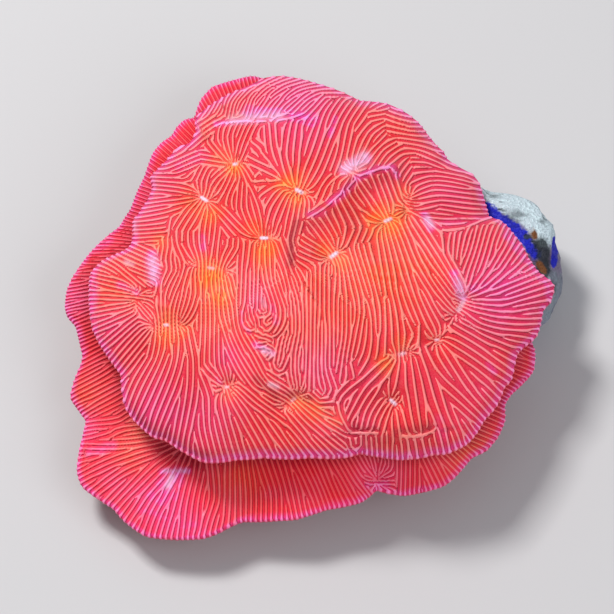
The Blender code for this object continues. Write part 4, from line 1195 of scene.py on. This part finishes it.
def lower_skin(sizes):
    """The lower plate: rings from its rim in to its flat seat, at top + rib height (lift - base).

    The rings out in the open are fine and their places slide to the crests. Those that the upper
    plate covers are few and plain, and painted in full shade.
    """
    wave, spacing = grow_ribs(LOWER_COURSES, [], MOUTHS[-1:], LOWER_SPACING, LOWER_SEED)
    slope = wave_slope(wave)
    direction = np.arange(LOWER_COLUMNS) * 360 / LOWER_COLUMNS
    reach = look(LOWER_REACH, direction) - RIM_INSET
    open_share = 1 - (sheltered_share(direction, reach) - UNDER_OVERLAP)
    shares = 1 - open_share * np.linspace(0, 1, LOWER_RINGS)[:, None]
    px, py = at(direction[None, :], shares * reach[None, :])
    moved_direction, moved_distance = around(*slide_to_crests(wave, slope, px, py))
    moved_distance[0] = look(LOWER_REACH, moved_direction[0]) - RIM_INSET
    px, py = at(moved_direction, moved_distance)
    upper_gap = look(UPPER_REACH, moved_direction) - moved_distance
    fade = ease((LOWER_FADE_START - upper_gap) / LOWER_FADE_REACH)
    edge = crest_edge(read_field(spacing, px, py))
    lift, ribs = rib_skin(wave, slope, edge, px, py, fade)
    edge_gap = look(LOWER_REACH, moved_direction) - moved_distance
    # Painted violet highlight along the lower rim and on raised crests
    edge_highlight = LOWER_EDGE_HIGHLIGHT * bell(edge_gap, EDGE_HIGHLIGHT_REACH * LOWER_HIGHLIGHT_SHARE)
    lilac = np.maximum(streaks(px, py, LOWER_LILAC_HIGHLIGHTS), edge_highlight)
    points = lift_places(lower_top, px, py, lift, sizes.rib_height * LOWER_RIB_SHARE)
    warm, pale = spots(px, py, LOWER_HALOS), streaks(px, py, LOWER_PALES)
    masks = np.stack([warm, lilac, pale, np.zeros(px.shape)], axis=-1)
    # Painted shade on the lower plate under the upper rim, fading out beyond it, weaker on the open side
    rim_shadow = RIM_SHADOW_STRENGTH * bell(np.minimum(upper_gap, 0), RIM_SHADOW_REACH)
    open_side = 1 - OPEN_SHARE * bell(direction[None, :] - OPEN_DIRECTION, OPEN_SPREAD)
    painted_shade_share = np.maximum(streaks(px, py, LOWER_PAINTED_SHADES), rim_shadow * open_side)
    tones = np.stack([edge, painted_shade_share, spots(px, py, LOWER_PINK_HIGHLIGHTS)], axis=-1)
    skin = Skin()
    numbers = skin.add(points, ribs, masks, tones).reshape(px.shape)
    skin.triangles.append(cut_quads(grid_quads(*px.shape, closed=True), ribs[..., 0].ravel()))
    last = numbers[-1]
    last_direction, last_distance = around(px[-1], py[-1])
    for number, share in enumerate(np.linspace(COVERED_START, COVERED_END, COVERED_RINGS)):
        if number in COVERED_HALVINGS:
            last_direction, last_distance = last_direction[::2], last_distance[::2]
        ring_x, ring_y = at(last_direction, last_distance * share)
        z = lower_top(ring_x, ring_y)
        x, y = seen(ring_x, ring_y, z)
        # The covered rings are in full painted shade
        ring = skin.add(np.stack([x, y, z], axis=-1), NO_RIBS, NO_MASKS, PAINTED_SHADE_TONES)
        skin.bridge(last, ring)
        last = ring
    x, y = seen(*CENTRE, SEAT_Z)
    centre = skin.add(np.array([[x, y, SEAT_Z]]), NO_RIBS, NO_MASKS, PAINTED_SHADE_TONES)
    skin.cap(last, centre[0])
    ring, low = add_lip(skin, numbers[0], points[0], ribs[0])
    add_underside(skin, ring, low, lower_top, LOWER_FOOT, ROCK_TOP + CLEARANCE)
    return skin


def rock_skin(sizes):
    """The rock: rings up its sides, over the shoulder and in to the flat seat, pushed in and out by noise."""
    turns = 2 * math.pi * np.arange(ROCK_COLUMNS) / ROCK_COLUMNS
    reach, shoulder = look(ROCK_REACH, np.degrees(turns)), look(ROCK_EDGE, np.degrees(turns))
    reach = reach + ROCK_SWELL * bell(np.degrees(turns) - ROCK_SWELL_DIRECTION, ROCK_SWELL_SPREAD)
    out_at, up_at = np.array(ROCK_PROFILE).T
    corners = range(len(ROCK_PROFILE))
    fine = np.linspace(0, corners[-1], ROCK_SIDE_RINGS)
    outs, ups = np.interp(fine, corners, out_at), np.interp(fine, corners, up_at)
    radius, height = outs[:, None] * reach, ups[:, None] * shoulder
    inward = np.linspace(0, 1, ROCK_TOP_RINGS)[1:, None]
    shoulder_reach = out_at[-1] * reach
    inner_radius = shoulder_reach + (ROCK_SEAT - shoulder_reach) * inward
    inner_height = shoulder + (ROCK_TOP - shoulder) * ease(inward * ROCK_DISH)
    radius, height = np.concatenate([radius, inner_radius]), np.concatenate([height, inner_height])
    fade = np.concatenate([np.ones(ROCK_SIDE_RINGS), ROCK_TOP_FADE * (1 - inward[:, 0])])[:, None]
    fade = fade * ease(height / ROCK_BASE_FADE)
    place = np.stack([radius * np.cos(turns), radius * np.sin(turns), height], axis=-1)
    lump = rough_noise(place, LUMP_SIZE, LUMP_SEED, LUMP_LAYERS) * sizes.rock_lump * fade
    pitted = rough_noise(place, PORE_SIZE, PORE_SEED, PORE_LAYERS)
    pores = np.clip(pitted - PORE_LEVEL, 0, 1) * PORE_DEPTH * fade
    push = LUMP_PUSH * lump - pores
    radius = radius + push
    height = np.maximum(height + np.minimum(HOLLOW_SINK * push, 0) * (height > 0), 0)
    points = np.stack([radius * np.cos(turns), radius * np.sin(turns), height], axis=-1)
    seat_x, seat_y = AXIS_X + ROCK_SEAT * np.cos(turns), AXIS_Y + ROCK_SEAT * np.sin(turns)
    points[-1] = np.stack([seat_x, seat_y, np.full(ROCK_COLUMNS, ROCK_TOP)], axis=-1)
    px, py = pixel_of(points[..., 0], points[..., 1], points[..., 2])
    patches = []
    for lines in ROCK_PATCHES.values():
        patches.append(streaks(px, py, [(line, spread, 1) for line, spread in lines]))
    pale, blue, dark, brown = patches
    masks = np.stack([pale, blue, dark, ease(pores / DARK_PORE_DEPTH)], axis=-1)
    ribs = np.stack([lump / sizes.rock_lump, pores / PORE_DEPTH, brown], axis=-1)
    skin = Skin()
    numbers = skin.add(points, ribs, masks).reshape(px.shape)
    skin.quads.append(grid_quads(*px.shape, closed=True))
    base = skin.add(np.array([[0.0, 0.0, 0.0]]), NO_RIBS, NO_MASKS)
    seat = skin.add(np.array([[AXIS_X, AXIS_Y, ROCK_TOP]]), NO_RIBS, NO_MASKS)
    skin.cap(numbers[0], base[0])
    skin.cap(numbers[-1], seat[0])
    return skin


def from_screen(red, green, blue):
    """Screen colour from 0 to 255 as the straight colour that shaders take."""
    screen = np.array([red, green, blue]) / 255
    straight = np.where(screen <= 0.04045, screen / 12.92, ((screen + 0.055) / 1.055) ** 2.4)
    return tuple(float(part) for part in straight)


class Nodes:
    """Adds nodes to a tree: values or other nodes' outputs go in by socket name or number."""

    def __init__(self, tree):
        self.tree = tree

    def add(self, kind, inputs=None, **settings):
        """A node of that kind with its inputs and settings."""
        node = self.tree.nodes.new(kind)
        for key, value in settings.items():
            setattr(node, key, value)
        for key, value in (inputs or {}).items():
            if isinstance(value, bpy.types.NodeSocket):
                self.tree.links.new(value, node.inputs[key])
            else:
                node.inputs[key].default_value = value
        return node

    def math(self, operation, a, b=0.0, clamp=False):
        """One operation on two numbers."""
        return self.add("ShaderNodeMath", {0: a, 1: b}, operation=operation, use_clamp=clamp).outputs[0]

    def line(self, value, gain, start):
        """The value times the gain, plus the start."""
        return self.math("ADD", self.math("MULTIPLY", value, gain), start)

    def mix(self, share, a, b):
        """Colour a with that share of colour b."""
        return self.add("ShaderNodeMix", {0: share, 6: a, 7: b}, data_type="RGBA").outputs[2]

    def ramp(self, value, low, high):
        """0 at low, 1 at high, with soft ends."""
        inputs = {"Value": value, "From Min": low, "From Max": high}
        return self.add("ShaderNodeMapRange", inputs, interpolation_type="SMOOTHSTEP").outputs[0]

    def noise(self, scale, detail=2.0):
        """Noise from 0 to 1 over the piece's own coordinates."""
        place = self.add("ShaderNodeTexCoord").outputs["Object"]
        inputs = {"Vector": place, "Scale": scale, "Detail": detail}
        return self.add("ShaderNodeTexNoise", inputs).outputs["Fac"]

    def vector(self, name):
        """The three numbers of a vector attribute."""
        attribute = self.add("ShaderNodeAttribute", attribute_name=name)
        return self.add("ShaderNodeSeparateXYZ", {0: attribute.outputs["Vector"]}).outputs

    def masks(self):
        """The four numbers of the colour attribute that holds the masks."""
        attribute = self.add("ShaderNodeAttribute", attribute_name="masks")
        parts = self.add("ShaderNodeSeparateColor", {0: attribute.outputs["Color"]}).outputs
        return parts[0], parts[1], parts[2], attribute.outputs["Alpha"]


def new_group(name, inputs, outputs):
    """A node group with named sockets: (name, kind, default) in, and (name, kind) out."""
    tree = bpy.data.node_groups.new(name, "ShaderNodeTree")
    for label, kind, value in inputs:
        socket = tree.interface.new_socket(label, in_out="INPUT", socket_type=kind)
        socket.default_value = value
    for label, kind in outputs:
        tree.interface.new_socket(label, in_out="OUTPUT", socket_type=kind)
    return tree, Nodes(tree), tree.nodes.new("NodeGroupInput"), tree.nodes.new("NodeGroupOutput")


def coral_group():
    """Skin colour, bump height and roughness from the ribs, masks and tones attributes.

    The phase is the arctangent of its sine and cosine. Crests are where its cosine is over that of
    the crest's edge, and a thin painted shade lies at their foot on the side away from the light.
    The tones add painted shade under the rims and on slopes turned from the light, and the masks add
    a painted violet highlight on raised crests and rims.
    """
    plain = (0.5, 0.5, 0.5, 1)
    names = (
        "Valley", "Crest", "Shade", "Warm valley", "Warm crest", "Lilac valley", "Lilac crest", "Lips",
        "Under",
    )
    tree, nodes, given, result = new_group(
        "coral_skin",
        [(name, "NodeSocketColor", plain) for name in names],
        [("Color", "NodeSocketColor"), ("Height", "NodeSocketFloat"), ("Roughness", "NodeSocketFloat")],
    )
    cosine, flank, facing = nodes.vector("ribs")
    warm_mask, lilac_highlight_mask, pale_mask, under = nodes.masks()
    crest_edge_cosine, painted_shade_tone, pink_highlight_tone = nodes.vector("tones")
    phase = nodes.math("ARCTAN2", flank, cosine)
    squares = nodes.math("ADD", nodes.math("MULTIPLY", cosine, cosine), nodes.math("MULTIPLY", flank, flank))
    strength = nodes.ramp(nodes.math("SQRT", squares), 0.02, 0.24)
    wave = nodes.math("MULTIPLY", nodes.math("COSINE", phase), strength)
    shaded = nodes.math("MULTIPLY", nodes.math("MULTIPLY", nodes.math("SINE", phase), facing), strength)
    edge = nodes.math("SUBTRACT", wave, crest_edge_cosine)
    crest = nodes.ramp(edge, -0.35, 0.3)
    foot = nodes.math("MULTIPLY", nodes.ramp(edge, 0.15, -0.15), nodes.ramp(edge, -1.0, -0.5))
    # Painted shade: a thin dark line at the crests' foot on the flank away from the key light
    shade = nodes.math("MULTIPLY", nodes.ramp(shaded, 0.25, 0.75), 0.75)
    mottle = nodes.ramp(nodes.noise(MOTTLE_SCALE, 3.0), 0.35, 0.65)
    grain = nodes.noise(GRAIN_SCALE)
    pattern = nodes.mix(crest, given.outputs["Valley"], given.outputs["Crest"])
    warm = nodes.mix(crest, given.outputs["Warm valley"], given.outputs["Warm crest"])
    lilac = nodes.mix(crest, given.outputs["Lilac valley"], given.outputs["Lilac crest"])
    warm_share = nodes.math("ADD", warm_mask, nodes.math("MULTIPLY", mottle, 0.12), clamp=True)
    pattern = nodes.mix(warm_share, pattern, warm)
    # Painted violet highlight on raised crests and rims, with a little random mottle
    patchy = nodes.ramp(nodes.noise(LILAC_SCALE), 0.3, 0.62)
    lilac_highlight_share = nodes.math("MULTIPLY", lilac_highlight_mask, nodes.line(patchy, 0.45, 0.55))
    pink_highlight = nodes.math("ADD", nodes.math("MULTIPLY", pink_highlight_tone, 0.55), nodes.math("MULTIPLY", mottle, 0.12))
    lilac_highlight_share = nodes.math("MAXIMUM", lilac_highlight_share, pink_highlight)
    pattern = nodes.mix(lilac_highlight_share, pattern, lilac)
    pattern = nodes.mix(nodes.math("MULTIPLY", shade, foot), pattern, given.outputs["Shade"])
    # Painted shade on slopes turned from the light and under the rims, less on the crests
    painted_shade_share = nodes.math("MULTIPLY", painted_shade_tone, nodes.line(crest, -0.45, 1.0))
    pattern = nodes.mix(painted_shade_share, pattern, given.outputs["Shade"])
    grain_share = nodes.math("MULTIPLY", nodes.ramp(grain, 0.35, 0.75), 0.16)
    pattern = nodes.mix(grain_share, pattern, given.outputs["Crest"])
    pale_share = nodes.math("MULTIPLY", pale_mask, nodes.line(patchy, 0.35, 0.65))
    pattern = nodes.mix(pale_share, pattern, given.outputs["Lips"])
    pattern = nodes.mix(nodes.math("MULTIPLY", under, 0.9), pattern, given.outputs["Under"])
    rise = nodes.math("MULTIPLY", nodes.ramp(wave, -0.3, 0.95), nodes.line(under, -0.6, 1.0))
    height = nodes.math("ADD", rise, nodes.math("MULTIPLY", grain, 0.22))
    roughness = nodes.line(crest, -0.12, 0.52)
    tree.links.new(pattern, result.inputs["Color"])
    tree.links.new(height, result.inputs["Height"])
    tree.links.new(roughness, result.inputs["Roughness"])
    return tree


def coral_material(name, tree, colours, painted_glow):
    """The skin group in a Principled shader, with a faint painted emission of the same colours."""
    material = bpy.data.materials.new(name)
    material.use_nodes = True
    nodes = Nodes(material.node_tree)
    shader = material.node_tree.nodes["Principled BSDF"]
    group = nodes.add("ShaderNodeGroup", node_tree=tree)
    for label, colour in colours.items():
        group.inputs[label].default_value = (*colour, 1)
    height = group.outputs["Height"]
    bump_inputs = {"Strength": CORAL_BUMP, "Distance": CORAL_BUMP_DISTANCE, "Height": height}
    bump = nodes.add("ShaderNodeBump", bump_inputs)
    links = material.node_tree.links
    links.new(group.outputs["Color"], shader.inputs["Base Color"])
    # Painted light: the skin emits its own colours, which flattens its shading
    links.new(group.outputs["Color"], shader.inputs["Emission Color"])
    links.new(group.outputs["Roughness"], shader.inputs["Roughness"])
    links.new(bump.outputs["Normal"], shader.inputs["Normal"])
    shader.inputs["Emission Strength"].default_value = painted_glow
    shader.inputs["Specular IOR Level"].default_value = 0.25
    shader.inputs["Coat Weight"].default_value = 0.06
    shader.inputs["Coat Roughness"].default_value = 0.25
    return material


def rock_material(settings):
    """Crusted rock: grey stone with a painted pale highlight, a painted blue shadow, dark and brown patches,
    speckled by noise.
    """
    material = bpy.data.materials.new("crusted_rock")
    material.use_nodes = True
    nodes = Nodes(material.node_tree)
    shader = material.node_tree.nodes["Principled BSDF"]
    lump, _, brown = nodes.vector("ribs")
    pale, blue, dark, pore = nodes.masks()
    broad = nodes.ramp(nodes.noise(CRUST_SCALE, 4.0), 0.38, 0.62)
    speckle = nodes.ramp(nodes.noise(SPECKLE_SCALE, 3.0), 0.42, 0.62)
    ragged = nodes.math("MULTIPLY", nodes.math("SUBTRACT", nodes.noise(RAGGED_SCALE, 4.0), 0.5), 0.9)
    # Painted highlight: raised lumps are lighter
    lit = nodes.math("MULTIPLY", nodes.ramp(lump, -0.8, 0.9), 0.3)
    lit_pale_patch = nodes.ramp(nodes.math("ADD", pale, ragged), 0.2, 0.5)
    pale_share = nodes.math("MULTIPLY", lit_pale_patch, nodes.line(speckle, 0.3, 0.7))
    # Painted shadow: blue where the coral's rim shades the rock
    shadow_blue_share = nodes.ramp(nodes.math("ADD", blue, ragged), 0.35, 0.65)
    dark_share = nodes.math("MULTIPLY", nodes.ramp(nodes.math("ADD", dark, ragged), 0.3, 0.7), 0.92)
    brown_share = nodes.ramp(brown, 0.35, 0.75)
    colour = nodes.mix(broad, (*settings.rock_grey, 1), (*settings.rock_purple, 1))
    colour = nodes.mix(lit, colour, (*settings.rock_lit_pale, 1))
    colour = nodes.mix(pale_share, colour, (*settings.rock_lit_pale, 1))
    colour = nodes.mix(shadow_blue_share, colour, (*settings.rock_shadow_blue, 1))
    colour = nodes.mix(dark_share, colour, (*settings.rock_dark, 1))
    colour = nodes.mix(brown_share, colour, (*settings.rock_brown, 1))
    colour = nodes.mix(nodes.math("MULTIPLY", pore, 0.6), colour, (*settings.rock_dark, 1))
    height = nodes.math("ADD", speckle, nodes.noise(STONE_SCALE, 4.0))
    bump_inputs = {"Strength": ROCK_BUMP, "Distance": ROCK_BUMP_DISTANCE, "Height": height}
    bump = nodes.add("ShaderNodeBump", bump_inputs)
    roughness = nodes.line(speckle, 0.2, 0.65)
    links = material.node_tree.links
    links.new(colour, shader.inputs["Base Color"])
    links.new(roughness, shader.inputs["Roughness"])
    links.new(bump.outputs["Normal"], shader.inputs["Normal"])
    return material


def colour_property(name, description, red, green, blue):
    """A colour setting, given as a screen colour."""
    straight = from_screen(red, green, blue)
    return bpy.props.FloatVectorProperty(
        name=name, description=description, default=straight, subtype="COLOR", min=0, max=1,
    )


def length_property(name, description, metres):
    """A length setting."""
    return bpy.props.FloatProperty(name=name, description=description, default=metres, unit="LENGTH")


class CoralSizes(bpy.types.PropertyGroup):
    """Sizes of the relief"""

    rib_height: length_property("Rib height", "Height of a rib's crest over its valley", 0.00030)
    lip_height: length_property("Lip height", "Height of the pale lips round a mouth", 0.00022)
    rock_lump: length_property("Rock lump", "How far the rock's lumps stand out", 0.0010)


class CoralColours(bpy.types.PropertyGroup):
    """Colours of the coral, the rock and the floor"""

    valley: colour_property("Valley", "Upper plate between the ribs", 216, 26, 44)
    crest: colour_property("Crest", "Upper plate on the ribs", 255, 138, 124)
    # Painted shade: the thin line on the ribs' far flanks, also used for the painted shade under the rims and
    # on slopes turned from the light
    shade: colour_property("Shade", "Thin line on a rib's shaded side", 122, 0, 30)
    warm_valley: colour_property("Warm valley", "Between the ribs near a mouth", 244, 84, 18)
    warm_crest: colour_property("Warm crest", "On the ribs near a mouth", 255, 156, 74)
    # Painted violet highlight on raised crests and rims, between the ribs and on them
    lilac_highlight_valley: colour_property("Lilac valley", "Between the ribs on bare ridges and rims", 222, 52, 150)
    lilac_highlight_crest: colour_property("Lilac crest", "On the ribs on bare ridges and rims", 255, 158, 240)
    mouth_lips: colour_property("Mouth lips", "Pale lips round a mouth", 232, 212, 232)
    underside: colour_property("Underside", "Underside of both plates", 150, 26, 48)
    lower_valley: colour_property("Lower valley", "Lower plate between the ribs", 224, 22, 50)
    lower_crest: colour_property("Lower crest", "Lower plate on the ribs", 255, 92, 96)
    rock_grey: colour_property("Rock grey", "Bare stone of the rock", 96, 98, 118)
    rock_purple: colour_property("Rock purple", "Purple crust on the rock", 112, 84, 128)
    # Painted highlight on the rock's lit top and raised lumps
    rock_lit_pale: colour_property("Rock pale", "Pale crust on the rock", 222, 244, 252)
    # Painted shadow where the coral's rim shades the rock
    rock_shadow_blue: colour_property("Rock blue", "Deep blue crust beside the coral", 16, 26, 196)
    rock_dark: colour_property("Rock dark", "Dark green growth and pits in the rock", 16, 34, 40)
    rock_brown: colour_property("Rock brown", "Brown spots in the pits", 124, 74, 34)
    floor: colour_property("Floor", "Plain pale floor", 214, 214, 216)
    # Painted light: strength of the emission that lifts the coral's colours
    painted_glow: bpy.props.FloatProperty(
        name="Glow", description="Strength of the coral's own glow", default=0.18, min=0,
    )


def dress(piece, node):
    """Hangs a finished piece on the frame in place of its solid."""
    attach(piece, "root")
    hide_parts(node)


def skin_colours(colours, valley, crest):
    """The skin group's colours, by socket."""
    return {
        "Valley": valley, "Crest": crest, "Shade": colours.shade, "Warm valley": colours.warm_valley,
        "Warm crest": colours.warm_crest, "Lilac valley": colours.lilac_highlight_valley,
        "Lilac crest": colours.lilac_highlight_crest, "Lips": colours.mouth_lips, "Under": colours.underside,
    }


def skin_tree():
    """The shared skin group, made once."""
    return bpy.data.node_groups.get("coral_skin") or coral_group()


class CORAL_OT_upper_plate(bpy.types.Operator):
    """Build the upper plate's ribbed skin"""

    bl_idname = "coral.upper_plate"
    bl_label = "Upper plate"

    def execute(self, context):
        colours = context.scene.coral_colours
        shades = skin_colours(colours, colours.valley, colours.crest)
        material = coral_material("upper_coral_skin", skin_tree(), shades, colours.painted_glow)
        skin = upper_skin(context.scene.coral_sizes)
        dress(skin.make("upper_plate_skin", material), "upper_plate")
        return {"FINISHED"}


class CORAL_OT_lower_plate(bpy.types.Operator):
    """Build the lower plate's ribbed skin"""

    bl_idname = "coral.lower_plate"
    bl_label = "Lower plate"

    def execute(self, context):
        colours = context.scene.coral_colours
        shades = skin_colours(colours, colours.lower_valley, colours.lower_crest)
        material = coral_material("lower_coral_skin", skin_tree(), shades, colours.painted_glow)
        skin = lower_skin(context.scene.coral_sizes)
        dress(skin.make("lower_plate_skin", material), "lower_plate")
        return {"FINISHED"}


class CORAL_OT_rock(bpy.types.Operator):
    """Build the crusted rock"""

    bl_idname = "coral.rock"
    bl_label = "Rock"

    def execute(self, context):
        material = rock_material(context.scene.coral_colours)
        skin = rock_skin(context.scene.coral_sizes)
        dress(skin.make("rock_crust", material), "rock")
        return {"FINISHED"}


def add_light(name, place, watts, size, colour):
    """An area light that points at the colony."""
    data = bpy.data.lights.new(name, "AREA")
    data.energy, data.size, data.color = watts, size, colour
    light = bpy.data.objects.new(name, data)
    bpy.context.scene.collection.objects.link(light)
    light.location = place
    away = np.array(place) / np.linalg.norm(place)
    light.rotation_euler = (math.acos(away[2]), 0, math.atan2(away[1], away[0]) + math.pi / 2)


class CORAL_OT_stage(bpy.types.Operator):
    """Set up the floor, the lights and the camera"""

    bl_idname = "coral.stage"
    bl_label = "Stage"

    def execute(self, context):
        scene = context.scene
        half = FLOOR_HALF
        corners = [(-half, -half, 0), (half, -half, 0), (half, half, 0), (-half, half, 0)]
        mesh = bpy.data.meshes.new("floor")
        mesh.from_pydata(corners, [], [(0, 1, 2, 3)])
        material = bpy.data.materials.new("pale_floor")
        material.use_nodes = True
        shader = material.node_tree.nodes["Principled BSDF"]
        shader.inputs["Base Color"].default_value = (*scene.coral_colours.floor, 1)
        shader.inputs["Roughness"].default_value = 0.8
        mesh.materials.append(material)
        floor = bpy.data.objects.new("floor", mesh)
        scene.collection.objects.link(floor)
        world = bpy.data.worlds.new("soft_room")
        world.use_nodes = True
        background = world.node_tree.nodes["Background"]
        background.inputs["Color"].default_value = ROOM_COLOUR
        background.inputs["Strength"].default_value = ROOM_STRENGTH
        scene.world = world
        for name, (place, watts, size, colour) in LIGHTS.items():
            add_light(name, place, watts, size, colour)
        scene.view_settings.view_transform = "Standard"
        data = bpy.data.cameras.new("camera")
        data.sensor_width = CAMERA_SENSOR
        data.lens = data.sensor_width * EYE_DISTANCE / (2 * FRAME_MIDDLE * PIXEL)
        camera = bpy.data.objects.new("camera", data)
        scene.collection.objects.link(camera)
        across, up = EYE_DISTANCE * math.cos(VIEW_ELEVATION), EYE_DISTANCE * math.sin(VIEW_ELEVATION)
        camera.location = (0, AIM_Y - across, up)
        camera.rotation_euler = (math.pi / 2 - VIEW_ELEVATION, 0, 0)
        scene.camera = camera
        return {"FINISHED"}


class CORAL_PT_panel(bpy.types.Panel):
    """The coral's settings and operators"""

    bl_idname = "CORAL_PT_panel"
    bl_label = "Leptoseris Coral"
    bl_space_type = "VIEW_3D"
    bl_region_type = "UI"
    bl_category = "Coral"

    def draw(self, context):
        """Lists the sizes, the colours and the operators."""
        for settings in (context.scene.coral_sizes, context.scene.coral_colours):
            for name in settings.__annotations__:
                self.layout.prop(settings, name)
        for operator in OPERATORS:
            self.layout.operator(operator.bl_idname)


OPERATORS = (CORAL_OT_stage, CORAL_OT_upper_plate, CORAL_OT_lower_plate, CORAL_OT_rock)
CLASSES = (CoralSizes, CoralColours, *OPERATORS, CORAL_PT_panel)


def register():
    """Registers the classes and their settings."""
    for kind in CLASSES:
        bpy.utils.register_class(kind)
    bpy.types.Scene.coral_sizes = bpy.props.PointerProperty(type=CoralSizes)
    bpy.types.Scene.coral_colours = bpy.props.PointerProperty(type=CoralColours)


def unregister():
    """Takes the settings and the classes away again."""
    del bpy.types.Scene.coral_colours
    del bpy.types.Scene.coral_sizes
    for kind in reversed(CLASSES):
        bpy.utils.unregister_class(kind)


def main():
    """Builds the stage and the pieces."""
    register()
    bpy.ops.coral.stage()
    bpy.ops.coral.upper_plate()
    bpy.ops.coral.lower_plate()
    bpy.ops.coral.rock()


if __name__ == "__main__":
    main()
